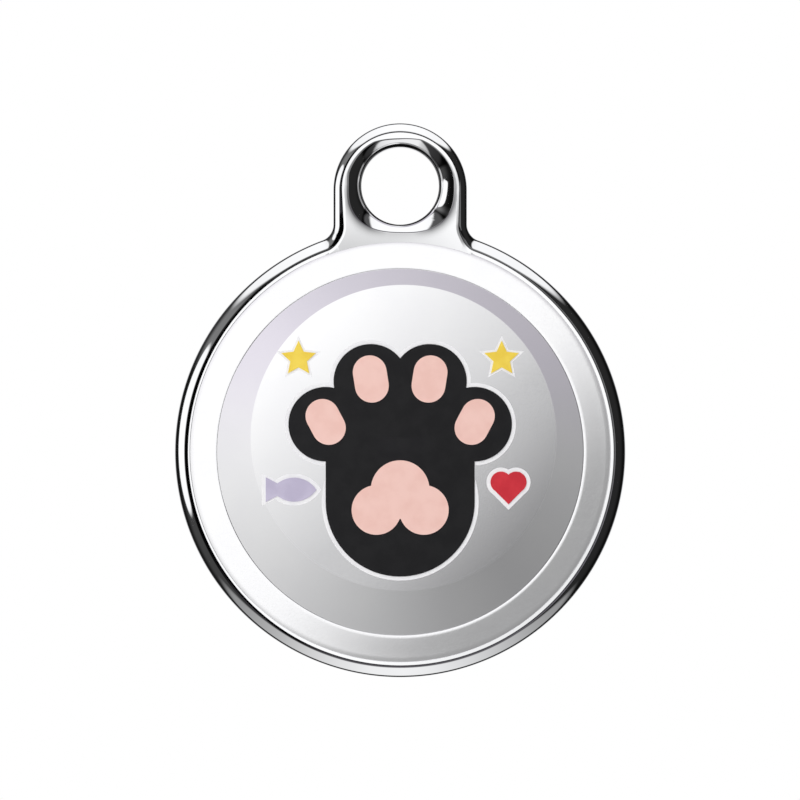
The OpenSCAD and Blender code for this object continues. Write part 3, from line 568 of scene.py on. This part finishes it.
diaphragm_rim = build_piece("diaphragm_rim", [spin(seal_rim, 144)])
diaphragm_middle = build_piece("diaphragm_middle", [spin(seal_middle, 144)])
diaphragm_web = build_piece("diaphragm_web", [spin(seal_web, 144)])
snap_dome = build_piece("snap_dome", [spin(dome_section, 48)])
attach(diaphragm_rim, "housing")
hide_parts("diaphragm")
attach(diaphragm_middle, "button")
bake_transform(diaphragm_web)
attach(snap_dome, "housing")
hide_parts("switch_dome")
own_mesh(snap_dome)
seal_pieces = (diaphragm_rim, diaphragm_middle, diaphragm_web)

# %% [markdown]
# ## Helpers for shader nodes
# Every finish below is a small tree of nodes. A few helpers keep the trees readable: one adds a
# node and feeds its inputs, and the others do a sum, a mix of two colours, a soft step, a ramp
# and a group.

# %% Helpers: nodes
def put(tree, kind, feed=None, **settings):
    node = tree.nodes.new(kind)
    for key, value in settings.items():
        setattr(node, key, value)
    for key, value in (feed or {}).items():
        if isinstance(value, bpy.types.NodeSocket):
            tree.links.new(value, node.inputs[key])
        else:
            node.inputs[key].default_value = value
    return node


def calc(tree, operation, *values):
    return put(tree, "ShaderNodeMath", dict(enumerate(values)), operation=operation).outputs[0]


def hypot(tree, a, b):
    return calc(tree, "SQRT", calc(tree, "ADD", calc(tree, "MULTIPLY", a, a), calc(tree, "MULTIPLY", b, b)))


def mix(tree, factor, first, second, **settings):
    feed = {"Factor": factor, 6: first, 7: second}
    return put(tree, "ShaderNodeMix", feed, data_type="RGBA", **settings).outputs[2]


def step(tree, value, start, end, low_level=0.0, high_level=1.0):
    feed = {"Value": value, "From Min": start, "From Max": end, "To Min": low_level, "To Max": high_level}
    return put(tree, "ShaderNodeMapRange", feed, interpolation_type="SMOOTHSTEP").outputs["Result"]


def ramp(tree, value, stops):
    node = put(tree, "ShaderNodeValToRGB", {"Fac": value})
    marks = node.color_ramp.elements
    marks.remove(marks[1])
    marks[0].position = stops[0][0]
    for at, level in stops:
        mark = marks[0] if at == stops[0][0] else marks.new(at)
        mark.color = (level, level, level, 1)
    return node.outputs["Color"]


def new_group(name, inputs, outputs):
    """A group that takes a vector and the inputs named."""
    tree = bpy.data.node_groups.new(name, "ShaderNodeTree")
    tree.interface.new_socket("Vector", in_out="INPUT", socket_type="NodeSocketVector")
    for label, kind, value in inputs:
        socket = tree.interface.new_socket(label, in_out="INPUT", socket_type="NodeSocket" + kind)
        socket.default_value = value
    for label, kind in outputs:
        tree.interface.new_socket(label, in_out="OUTPUT", socket_type="NodeSocket" + kind)
    return tree, tree.nodes.new("NodeGroupInput").outputs, tree.nodes.new("NodeGroupOutput").inputs


def use(tree, group, feed):
    return put(tree, "ShaderNodeGroup", feed, node_tree=group).outputs


print("node helpers ready")

# %% [markdown]
# ## Effects that several finishes share
# No real surface has one even colour or gloss. Four effects come back in the finishes: a drift
# of tone, a fine grain, hairlines from handling, and a brushed direction. Each is a node group,
# so that one change improves every finish that uses it.

# %% Group: drift of tone
drift, give, take = new_group(
    "tone_drift",
    [("Scale", "Float", 300.0)]
    + [("Tone", "Color", (0.8, 0.8, 0.8, 1)), ("Shade", "Color", (0.7, 0.7, 0.7, 1))],
    [("Color", "Color"), ("Mask", "Float")],
)
cloud = put(drift, "ShaderNodeTexNoise", {"Vector": give["Vector"], "Scale": give["Scale"], "Detail": 3.0})
mask = step(drift, cloud.outputs["Fac"], 0.32, 0.68)
drift.links.new(mix(drift, mask, give["Shade"], give["Tone"]), take["Color"])
drift.links.new(mask, take["Mask"])
print("group", drift.name)

# %% Group: fine grain
grain, give, take = new_group(
    "fine_grain",
    [("Scale", "Float", 4000.0), ("Smoothest", "Float", 0.3), ("Roughest", "Float", 0.5)],
    [("Roughness", "Float"), ("Height", "Float")],
)
feed = {"Vector": give["Vector"], "Scale": give["Scale"], "Detail": 4.0, "Roughness": 0.6}
speck = put(grain, "ShaderNodeTexNoise", feed).outputs["Fac"]
feed = {"Value": speck, "From Min": 0.3, "From Max": 0.7}
feed |= {"To Min": give["Smoothest"], "To Max": give["Roughest"]}
grain.links.new(put(grain, "ShaderNodeMapRange", feed).outputs["Result"], take["Roughness"])
grain.links.new(speck, take["Height"])
print("group", grain.name)

# %% Group: hairlines from handling
hairs, give, take = new_group(
    "handling_hairlines",
    [("Scale", "Float", 500.0), ("Amount", "Float", 0.1), ("Roughness", "Float", 0.1)],
    [("Roughness", "Float"), ("Mask", "Float")],
)
lines = None
for angle in (0.5, 2.1, 3.9):
    feed = {"Vector": give["Vector"], "Rotation": (angle, angle * 1.7, angle * 0.6), "Scale": (1, 1, 14)}
    turned = put(hairs, "ShaderNodeMapping", feed).outputs[0]
    thread = put(hairs, "ShaderNodeTexNoise", {"Vector": turned, "Scale": give["Scale"], "Detail": 2.0})
    one = step(hairs, thread.outputs["Fac"], 0.62, 0.7)
    lines = one if lines is None else calc(hairs, "MAXIMUM", lines, one)
smear = put(hairs, "ShaderNodeTexNoise", {"Vector": give["Vector"], "Scale": 160.0, "Detail": 2.0})
# Here the weight is a smear of handling that adds roughness.
smear_and_shade_weight = step(hairs, smear.outputs["Fac"], 0.45, 0.75)
worn = calc(hairs, "ADD", calc(hairs, "MULTIPLY", lines, 0.6), calc(hairs, "MULTIPLY", smear_and_shade_weight, 0.4))
added = calc(hairs, "MULTIPLY", worn, give["Amount"])
hairs.links.new(calc(hairs, "ADD", give["Roughness"], added), take["Roughness"])
hairs.links.new(worn, take["Mask"])
print("group", hairs.name)

# %% Group: brushed direction
brushed, give, take = new_group(
    "brushed_lines",
    [("Stretch", "Vector", (1, 1, 20)), ("Scale", "Float", 800.0)],
    [("Height", "Float"), ("Mask", "Float")],
)
feed = {0: give["Vector"], 1: give["Stretch"]}
pulled = put(brushed, "ShaderNodeVectorMath", feed, operation="MULTIPLY").outputs[0]
strokes = put(brushed, "ShaderNodeTexNoise", {"Vector": pulled, "Scale": give["Scale"], "Detail": 5.0})
brushed.links.new(strokes.outputs["Fac"], take["Height"])
brushed.links.new(step(brushed, strokes.outputs["Fac"], 0.35, 0.65), take["Mask"])
print("group", brushed.name)

# %% [markdown]
# ## One way to set up a finish
# A finish is a Principled shader whose colour comes from the drift, whose roughness comes from
# the grain or the hairlines, and whose bump comes from the grain. Even values are set on the
# shader itself. A second colour can be laid over the first where a mask says.

# %% Helper: a finish
finishes = {}


def emboss(tree, skin, height, strength, distance):
    feed = {"Height": height, "Strength": strength, "Distance": distance}
    tree.links.new(put(tree, "ShaderNodeBump", feed).outputs[0], skin.inputs["Normal"])


def finish(
    slot, tone, shade, drift_scale=250, rough=(0.35, 0.5), grain_scale=4000, bump=0.0, hairline=0.0, **shader
):
    material = bpy.data.materials.new(slot)
    material.use_nodes = True
    tree = material.node_tree
    skin = tree.nodes["Principled BSDF"]
    at = put(tree, "ShaderNodeTexCoord").outputs["Object"]
    colour = use(tree, drift, {"Vector": at, "Scale": drift_scale, "Tone": (*tone, 1), "Shade": (*shade, 1)})
    tree.links.new(colour["Color"], skin.inputs["Base Color"])
    feed = {"Vector": at, "Scale": grain_scale, "Smoothest": rough[0], "Roughest": rough[1]}
    specks = use(tree, grain, feed)
    gloss = specks["Roughness"]
    if hairline:
        gloss = use(tree, hairs, {"Vector": at, "Amount": hairline, "Roughness": gloss})["Roughness"]
    tree.links.new(gloss, skin.inputs["Roughness"])
    if bump:
        emboss(tree, skin, specks["Height"], 0.6, bump)
    for key, value in shader.items():
        skin.inputs[key.replace("_", " ").title().replace("Ior", "IOR")].default_value = value
    finishes[slot] = material
    return tree, skin, at


def overlay(tree, skin, factor, colour):
    """Lays a second colour over the colour of a finish."""
    base = skin.inputs["Base Color"]
    tree.links.new(mix(tree, factor, base.links[0].from_socket, (*colour, 1)), base)


print("finish helpers ready")

# %% [markdown]
# ## Polished and lacquered metal
# The frame is bright plated metal, so it has almost no colour of its own and shows the studio
# like a mirror, with a trace of hairlines. Where its sheets carry painted shade it is painted
# dark. The band and the disc are silver lacquer: a metallic coat that reflects more softly, with
# fine flake in it and a clear top coat.

# %% Finishes: frame, band and disc
CHROME, CHROME_SHADE, PAINTED_SHADE_TONE = (0.93, 0.935, 0.945), (0.90, 0.905, 0.92), (0.02, 0.02, 0.022)
SILVER, SILVER_SHADE = (0.94, 0.94, 0.95), (0.92, 0.92, 0.935)
tree, skin, _ = finish("chrome", CHROME, CHROME_SHADE, rough=(0.03, 0.045), hairline=0.03, metallic=1.0)
# The painted shade of the sheets darkens the chrome to this tone.
overlay(tree, skin, put(tree, "ShaderNodeAttribute", attribute_name="painted_shade").outputs["Fac"], PAINTED_SHADE_TONE)

lacquer = {"rough": (0.11, 0.14), "hairline": 0.03, "coat_weight": 0.3, "coat_roughness": 0.04}
tree, skin, at = finish("silver_coat", SILVER, SILVER_SHADE, metallic=1.0, **lacquer)
flake = put(tree, "ShaderNodeTexVoronoi", {"Vector": at, "Scale": 9000.0}).outputs["Color"]
emboss(tree, skin, flake, 0.05, 0.00002)
print("metal finishes:", list(finishes))

# %% [markdown]
# ## The shaded face
# The round face is painted darker towards the lower right under its clear coat: painted shade,
# as if the light from the upper left fell off across it, bright at the upper left and a deeper
# silver at the lower right. It could be a painted image, but a blend along one direction inside
# a circle needs only a few nodes, and it stays sharp at the edge of the face.

# %% Finish: the face of the disc
# Tone and reach of the painted shade that darkens the face towards the lower right.
FACE_SHADE_TONE = (0.55, 0.55, 0.56)
FACE_SHADE_FROM, FACE_SHADE_TO = -0.9, 0.25
FACE_SHADE_RIGHT, FACE_SHADE_DOWN = 0.643, 0.766
shaded_face = finishes["silver_coat"].copy()
shaded_face.name = "silver_coat_shaded_face"
tree = shaded_face.node_tree
at = put(tree, "ShaderNodeTexCoord").outputs["Object"]
face_centre = (FACE_SHIFT / 1000, 0, CENTRE_Z + FACE_LIFT / 1000)
across = put(tree, "ShaderNodeVectorMath", {0: at, 1: face_centre}, operation="SUBTRACT").outputs[0]
axes = put(tree, "ShaderNodeSeparateXYZ", {0: across}).outputs
face_edge = FACE_R / 1000
on_face = step(tree, hypot(tree, axes["X"], axes["Z"]), face_edge - 0.00001, face_edge, 1.0, 0.0)
rightward = calc(tree, "MULTIPLY", axes["X"], FACE_SHADE_RIGHT / face_edge)
along = calc(tree, "SUBTRACT", rightward, calc(tree, "MULTIPLY", axes["Z"], FACE_SHADE_DOWN / face_edge))
deepness = put(tree, "ShaderNodeMapRange", {"Value": along, "From Min": FACE_SHADE_FROM, "From Max": FACE_SHADE_TO})
depth = calc(tree, "MULTIPLY", on_face, deepness.outputs[0])
overlay(tree, tree.nodes["Principled BSDF"], depth, FACE_SHADE_TONE)
# The face of the disc carries painted shade, darker towards the lower right.
print("pearl face radius:", FACE_R, "mm")

# %% [markdown]
# ## Inks
# The print is pad-printed ink under a thin varnish. Each colour is one layer, slightly uneven
# where the pad left more or less ink.

# %% Finishes: inks
INKS = {
    "ink_white": ((0.90, 0.90, 0.90), (0.86, 0.86, 0.87)),
    "ink_black": ((0.006, 0.006, 0.007), (0.009, 0.009, 0.010)),
    "ink_peach": ((0.90, 0.60, 0.53), (0.86, 0.55, 0.48)),
    "ink_lilac": ((0.56, 0.52, 0.66), (0.50, 0.46, 0.60)),
    "ink_red": ((0.66, 0.035, 0.05), (0.58, 0.025, 0.04)),
    "ink_yellow": ((0.92, 0.70, 0.10), (0.86, 0.62, 0.07)),
}
ink_look = {"drift_scale": 700, "rough": (0.38, 0.5), "grain_scale": 6000, "bump": 0.000004}
for slot, (tone, shade) in INKS.items():
    finish(slot, tone, shade, specular_ior_level=0.25, **ink_look)
print("inks:", list(INKS))

# %% [markdown]
# ## Plastics, rubbers and foam
# The rear cover is moulded with a fine spark texture. The inner plastics are plainer, the
# silicone and the seal are soft and dull, and the foam has open cells.

# %% Finishes: plastics
cover_look = {"drift_scale": 60, "grain_scale": 4200, "bump": 0.00006, "hairline": 0.08}
finish("cover_plastic", (0.50, 0.51, 0.53), (0.475, 0.485, 0.505), rough=(0.42, 0.6), **cover_look)
finish("carrier_plastic", (0.60, 0.60, 0.62), (0.54, 0.54, 0.56), rough=(0.4, 0.55), bump=0.00001)
finish("insulator_plastic", (0.20, 0.20, 0.21), (0.15, 0.15, 0.16), rough=(0.4, 0.5), bump=0.000006)
finish("chassis_plastic", (0.06, 0.06, 0.065), (0.04, 0.04, 0.044), rough=(0.45, 0.6), bump=0.00002)
finish("buzzer_plastic", (0.05, 0.05, 0.05), (0.035, 0.035, 0.036), rough=(0.35, 0.5), bump=0.000008)
finish("plunger_plastic", (0.85, 0.82, 0.72), (0.78, 0.75, 0.64), rough=(0.4, 0.5), bump=0.000005)
finish("silicone", (0.35, 0.36, 0.38), (0.30, 0.31, 0.33), rough=(0.55, 0.7), bump=0.00001)
finish("seal_rubber", (0.05, 0.05, 0.055), (0.035, 0.035, 0.04), rough=(0.6, 0.75), bump=0.00001)
foam_look = {"drift_scale": 2500, "grain_scale": 2600, "bump": 0.00015}
finish("foam", (0.13, 0.13, 0.14), (0.06, 0.06, 0.07), rough=(0.85, 0.97), **foam_look)
print("finishes so far:", len(finishes))

# %% [markdown]
# ## The cell, the board and its parts
# The cell is nickel-plated steel with brushed lines. The board is green solder mask over copper
# tracks, and its parts are moulded resin, ceramic, tin and gold.

# %% Finishes: metals inside
def brushed_finish(slot, tone, shade, stretch, rough):
    tree, skin, at = finish(slot, tone, shade, rough=rough, hairline=0.05, metallic=1.0)
    drawn = use(tree, brushed, {"Vector": at, "Stretch": stretch, "Scale": 900.0})
    emboss(tree, skin, drawn["Height"], 0.25, 0.00002)


brushed_finish("cell_steel", (0.70, 0.71, 0.72), (0.63, 0.64, 0.66), (20, 1, 1), (0.2, 0.3))
brushed_finish("screw_steel", (0.60, 0.60, 0.62), (0.52, 0.52, 0.55), (1, 1, 1), (0.25, 0.38))
brushed_finish("shield_tin", (0.72, 0.72, 0.72), (0.64, 0.64, 0.65), (12, 1, 1), (0.3, 0.42))
brushed_finish("gold_contact", (0.86, 0.64, 0.24), (0.78, 0.56, 0.19), (1, 1, 16), (0.18, 0.3))
brushed_finish("antenna_silver", (0.80, 0.79, 0.76), (0.72, 0.71, 0.68), (1, 1, 1), (0.3, 0.45))
print("finishes so far:", len(finishes))

# %% Finishes: board and parts
MASK_GREEN, MASK_SHADE, TRACK_GREEN = (0.015, 0.15, 0.07), (0.012, 0.12, 0.055), (0.05, 0.26, 0.10)
tree, skin, at = finish("board_laminate", MASK_GREEN, MASK_SHADE, rough=(0.3, 0.42), bump=0.000006)
cells = {"feature": "DISTANCE_TO_EDGE", "distance": "EUCLIDEAN"}
tracks = put(tree, "ShaderNodeTexVoronoi", {"Vector": at, "Scale": 520.0}, **cells)
overlay(tree, skin, step(tree, tracks.outputs["Distance"], 0.05, 0.07, 1.0, 0.0), TRACK_GREEN)

finish("chip_black", (0.035, 0.035, 0.038), (0.025, 0.025, 0.027), rough=(0.5, 0.65), bump=0.00001)
patch_look = {"drift_scale": 900, "rough": (0.5, 0.65), "bump": 0.00001}
finish("antenna_ceramic", (0.62, 0.52, 0.40), (0.56, 0.46, 0.34), **patch_look)
small_look = {"drift_scale": 1500, "rough": (0.35, 0.5), "bump": 0.000005}
finish("parts_ceramic", (0.45, 0.32, 0.22), (0.36, 0.25, 0.17), **small_look)
resin_look = {"drift_scale": 900, "rough": (0.25, 0.4), "coat_weight": 0.2, "coat_roughness": 0.2}
finish("capacitor_resin", (0.78, 0.50, 0.09), (0.70, 0.43, 0.07), **resin_look)
print("finishes:", len(finishes))

# %% [markdown]
# ## Give each piece its finish
# The table below names a slot for every CAD node, and each node takes the finish of its slot.
# The drawn pieces take the finish of the node they replace.

# %% Dress the pieces
SLOTS = {
    "chrome": ["frame"],
    "silver_coat": ["front_band", "button_disc"],
    "carrier_plastic": ["button_carrier"],
    "silicone": ["diaphragm"],
    "plunger_plastic": ["switch_plunger"],
    "cover_plastic": ["rear_cover"],
    "seal_rubber": ["cover_seal"],
    "foam": ["cell_pad"],
    "cell_steel": ["cell_can", "cell_cap"],
    "insulator_plastic": ["cell_insulator"],
    "chassis_plastic": ["chassis"],
    "screw_steel": ["frame_screws", "board_screws"],
    "board_laminate": ["main_board"],
    "gold_contact": ["negative_spring", "positive_spring", "antenna_spring"],
    "antenna_ceramic": ["gnss_patch"],
    "antenna_silver": ["gnss_face"],
    "shield_tin": ["modem_shield", "switch_dome", "crystal"],
    "chip_black": ["modem_chip", "processor", "sim_chip", "memory_chip", "motion_sensor", "switch_body"],
    "buzzer_plastic": ["buzzer"],
    "capacitor_resin": ["pulse_capacitor"],
    "parts_ceramic": ["small_parts"],
}
SLOTS |= {ink: [ink.replace("ink", "print")] for ink in INKS}
for slot, names in SLOTS.items():
    for name in names:
        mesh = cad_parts[name].data
        mesh.materials.clear()
        mesh.materials.append(finishes[slot])
# The disc takes the silver lacquer with painted shade on its face.
silver_disc.data.materials.append(shaded_face)
polished_frame.data.materials.append(finishes["chrome"])
silver_band.data.materials.append(finishes["silver_coat"])
snap_dome.data.materials.append(finishes["shield_tin"])
for piece in seal_pieces:
    piece.data.materials.append(finishes["silicone"])
dressed = sum(len(names) for names in SLOTS.values())
print("dressed CAD nodes:", dressed, "of", len(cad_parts))

# %% [markdown]
# ## The studio
# Polished metal is photographed in a tent of white cloth: what the metal shows is the tent. This
# one is a round tent with white panels above, below and to the left, a dark side to the right
# and narrow dark gaps between the panels. The camera looks in through its wall, and sees the
# white room behind it. A place on the tent has a clock angle, seen from the front with 0 at the
# top, and an angle off the front.

# %% The tent: dark cloth and white panels
# Clock angle and tone of the dark cloth.
DARK = [(0, 0.03), (60, 0.02), (130, 0.02), (225, 0.05), (248, 0.06)]
DARK += [(258, 0.03), (290, 0.03), (299, 0.2), (311, 0.2), (322, 0.03)]
# Clock angle, its half width, angle off the front, its reach to the front and to the back, how
# square the panel is, and its light in the middle and at the ends.
PANELS = [
    (-1, 47, 70, 27, 31, 1.9, 1.12, 1.0),
    (275.5, 23, 61, 15, 11, 2.5, 1.12, 1.05),
    (181, 51, 67, 20, 29, 1.9, 0.95, 0.3),
]


def clock_stops(pairs):
    """Clock angles to places on a ramp that has the top in its middle."""
    return [((a / 360 + 0.5) % 1, level) for a, level in pairs]


def dark_cloth(tree, part, off):
    """The cloth between the panels: darker towards the sides, a trace lighter behind them."""
    around = ramp(tree, part, sorted(clock_stops(DARK)))
    near = calc(tree, "MULTIPLY", around, step(tree, off, 66, 80, 1.0, 0.15))
    return calc(tree, "ADD", near, step(tree, off, 84, 118, 0.0, 0.03))


def hang_panels(tree, cloth, clock, off):
    for at_clock, half_clock, at_off, fore, aft, power, middle_light, end_light in PANELS:
        apart = calc(tree, "WRAP", calc(tree, "SUBTRACT", clock, at_clock), 180.0, -180.0)
        u = calc(tree, "ABSOLUTE", calc(tree, "DIVIDE", apart, half_clock))
        past = calc(tree, "SUBTRACT", off, at_off)
        v = calc(tree, "MAXIMUM", calc(tree, "DIVIDE", past, aft), calc(tree, "DIVIDE", past, -fore))
        oval = calc(tree, "ADD", calc(tree, "POWER", u, power), calc(tree, "POWER", v, power))
        lit = step(tree, oval, 0.85, 1.15, 1.0, 0.0)
        light = calc(tree, "MULTIPLY", step(tree, u, 0.0, 1.0, middle_light, end_light), lit)
        cloth = calc(tree, "ADD", calc(tree, "MULTIPLY", cloth, calc(tree, "SUBTRACT", 1.0, lit)), light)
    return cloth


print("panels at clock angles", [panel[0] for panel in PANELS])

# %% [markdown]
# The flat parts of the pendant reflect the front of the tent, round the camera. It is white and
# gets greyer to the lower right. A shaded ring further out shows in the slope of the disc.

# %% The tent: its front
# Clock angle and tone of the shaded ring.
SHADED = [(0, 0.62), (30, 0.52), (60, 0.46), (90, 0.39), (120, 0.31), (140, 0.28), (165, 0.34), (180, 0.42)]
SHADED += [(210, 0.58), (225, 0.67), (240, 0.76), (262, 0.88), (285, 0.90), (315, 0.82), (340, 0.70)]
RING_ENDS = [(0.0, 0.42), (1.0, 0.42)]
WHITE, LILAC = (1, 1, 1, 1), (1.0, 0.955, 1.05, 1)


def tent_front(tree, part, off, right, up):
    rightward = calc(tree, "MULTIPLY", right, 0.725)
    low_right = calc(tree, "SUBTRACT", rightward, calc(tree, "MULTIPLY", up, 0.688))
    lens = calc(tree, "MULTIPLY_ADD", low_right, -7.6, 1.42)
    lens = calc(tree, "MINIMUM", calc(tree, "MAXIMUM", lens, 0.36), 1.10)
    ring = ramp(tree, part, sorted(clock_stops(SHADED) + RING_ENDS))
    tint = mix(tree, step(tree, up, -0.1, 0.3), WHITE, LILAC)
    dyed = mix(tree, 1.0, ring, tint, blend_type="MULTIPLY")
    return mix(tree, step(tree, off, 12, 19), lens, dyed)


print("stops of the shaded ring:", len(SHADED) + len(RING_ENDS))

# %% The tent: its cloth
BACK_TONE = (0.80, 0.80, 0.81, 1)
SIDE_TURN = 22.0


def tent_cloth():
    material = bpy.data.materials.new("tent_cloth")
    material.use_nodes = True
    tree = material.node_tree
    tree.nodes.clear()
    at = put(tree, "ShaderNodeTexCoord").outputs["Object"]
    way = put(tree, "ShaderNodeVectorMath", {0: at}, operation="NORMALIZE").outputs[0]
    axes = put(tree, "ShaderNodeSeparateXYZ", {0: way}).outputs
    right, up = axes["X"], axes["Z"]
    facing = calc(tree, "MULTIPLY", axes["Y"], -1.0)
    clock = calc(tree, "MULTIPLY", calc(tree, "ARCTAN2", right, up), 180 / math.pi)
    off = calc(tree, "MULTIPLY", calc(tree, "ARCCOSINE", facing), 180 / math.pi)
    part = calc(tree, "MULTIPLY_ADD", clock, 1 / 360, 0.5)

    cloth = hang_panels(tree, dark_cloth(tree, part, off), clock, off)
    wall = mix(tree, step(tree, off, 41, 46, 1.0, 0.0), cloth, tent_front(tree, part, off, right, up))

    # The back is pale, and comes further round at the two sides.
    aside = calc(tree, "MAXIMUM", hypot(tree, right, up), 0.01)
    sideways = calc(tree, "ABSOLUTE", calc(tree, "DIVIDE", right, aside))
    turned = calc(tree, "MULTIPLY_ADD", sideways, SIDE_TURN, off)
    tent_tone = mix(tree, step(tree, turned, 142, 156), wall, BACK_TONE)
    glow = put(tree, "ShaderNodeEmission", {"Color": tent_tone, "Strength": 1.0})
    tree.links.new(glow.outputs[0], put(tree, "ShaderNodeOutputMaterial").inputs["Surface"])
    material.cycles.emission_sampling = "NONE"
    return material


cloth_material = tent_cloth()
print("tent nodes:", len(cloth_material.node_tree.nodes))

# %% The tent
TENT_R, TENT_RINGS, TENT_STEPS = 0.6, 48, 96
middle_y = (cad_box[0][1] + cad_box[1][1]) / 2
middle_z = (cad_box[0][2] + cad_box[1][2]) / 2
from_pole = np.linspace(0.001, math.pi - 0.001, TENT_RINGS)
ball, _ = spin([(TENT_R * math.sin(p), TENT_R * math.cos(p)) for p in from_pole], TENT_STEPS)
tent_mesh = bpy.data.meshes.new("tent")
tent_faces = sheet_faces(TENT_STEPS, TENT_RINGS, True, 0)
tent_mesh.from_pydata(ball.reshape(-1, 3).tolist(), [], tent_faces)
tent_mesh.materials.append(cloth_material)
tent = bpy.data.objects.new("tent", tent_mesh)
tent.location = (0, middle_y, middle_z)
tent.visible_camera = False
tent.visible_shadow = False
scene.collection.objects.link(tent)
print("tent faces:", len(tent_mesh.polygons))

# %% [markdown]
# ## Floor, lamps and white room
# The pendant hangs above a pale floor that fades into the white room. Two large soft lamps, one
# from the upper left and one from behind, light the print and the rear cover. They are kept out
# of mirror reflections, which belong to the tent.

# %% Floor
FLOOR_R, FLOOR_DROP = 0.26, 0.025
floor_mesh = bpy.data.meshes.new("floor")
floor_line = spin([(FLOOR_R, 0)], TENT_STEPS)[0].reshape(-1, 3).tolist()
floor_mesh.from_pydata(floor_line, [], [tuple(range(len(floor_line)))])
floor = bpy.data.objects.new("floor", floor_mesh)
floor.location = (0, middle_y, cad_box[0][2] - FLOOR_DROP)
floor.visible_glossy = False
scene.collection.objects.link(floor)
floor_paint = bpy.data.materials.new("floor_paint")
floor_paint.use_nodes = True
tree = floor_paint.node_tree
skin = tree.nodes["Principled BSDF"]
skin.inputs["Base Color"].default_value = (0.93, 0.93, 0.93, 1)
skin.inputs["Roughness"].default_value = 0.7
at = put(tree, "ShaderNodeTexCoord").outputs["Object"]
far = put(tree, "ShaderNodeVectorMath", {0: at}, operation="LENGTH").outputs["Value"]
path = put(tree, "ShaderNodeLightPath").outputs
mirrored = calc(tree, "MAXIMUM", path["Is Glossy Ray"], path["Is Transmission Ray"])
seen = calc(tree, "MAXIMUM", path["Is Camera Ray"], mirrored)
fade_out = calc(tree, "MULTIPLY", step(tree, far, 0.05, 0.20), seen)
glow = put(tree, "ShaderNodeEmission", {"Color": WHITE, "Strength": 1.0})
faded = put(tree, "ShaderNodeMixShader", {0: fade_out, 1: skin.outputs[0], 2: glow.outputs[0]})
tree.links.new(faded.outputs[0], tree.nodes["Material Output"].inputs["Surface"])
floor_mesh.materials.append(floor_paint)
print("floor at", round(floor.location.z, 4))

# %% Lamps and room
LAMPS = [("front_lamp", (-0.28, -0.40, 0.30), 1.4), ("rear_lamp", (0.34, 0.30, 0.30), 1.3)]
for name, spot, energy in LAMPS:
    lamp_data = bpy.data.lights.new(name, "AREA")
    lamp_data.shape = "DISK"
    lamp_data.size = 0.35
    lamp_data.energy = energy
    lamp = bpy.data.objects.new(name, lamp_data)
    lamp.location = spot
    aim = np.array([0.0, middle_y, middle_z]) - np.array(spot)
    down = math.atan2(math.hypot(aim[0], aim[1]), -aim[2])
    lamp.rotation_euler = (down, 0, math.atan2(aim[1], aim[0]) - math.pi / 2)
    lamp.visible_glossy = False
    scene.collection.objects.link(lamp)

room = bpy.data.worlds.new("white_room")
room.use_nodes = True
sky = room.node_tree.nodes["Background"].inputs
sky["Color"].default_value = WHITE
sky["Strength"].default_value = 1.0
scene.world = room
scene.view_settings.view_transform = "Standard"
print("lamps:", [name for name, _, _ in LAMPS])

# %% [markdown]
# ## The camera
# The photograph looks straight at the front from far away, so a long lens stands well back.
# The centre of the disc lies a little below the middle of the picture.

# %% Camera
PICTURE_PX = 800
MM_PER_PIXEL = 40 / 450.9
LEFT_PX, UP_PX = 0.15, 51.85
SENSOR, DISTANCE, RIM_DEPTH = 36, 0.8, 0.0006
camera_data = bpy.data.cameras.new("camera")
camera = bpy.data.objects.new("camera", camera_data)
camera_x = -LEFT_PX * MM_PER_PIXEL / 1000
camera.location = (camera_x, low.y - DISTANCE, CENTRE_Z + UP_PX * MM_PER_PIXEL / 1000)
camera.rotation_euler = (math.pi / 2, 0, 0)
camera_data.sensor_width = SENSOR
camera_data.lens = SENSOR * (DISTANCE + RIM_DEPTH) / (PICTURE_PX * MM_PER_PIXEL / 1000)
camera_data.clip_end = 10
scene.collection.objects.link(camera)
scene.camera = camera
print(f"lens {camera_data.lens:.0f} mm at {DISTANCE} m")
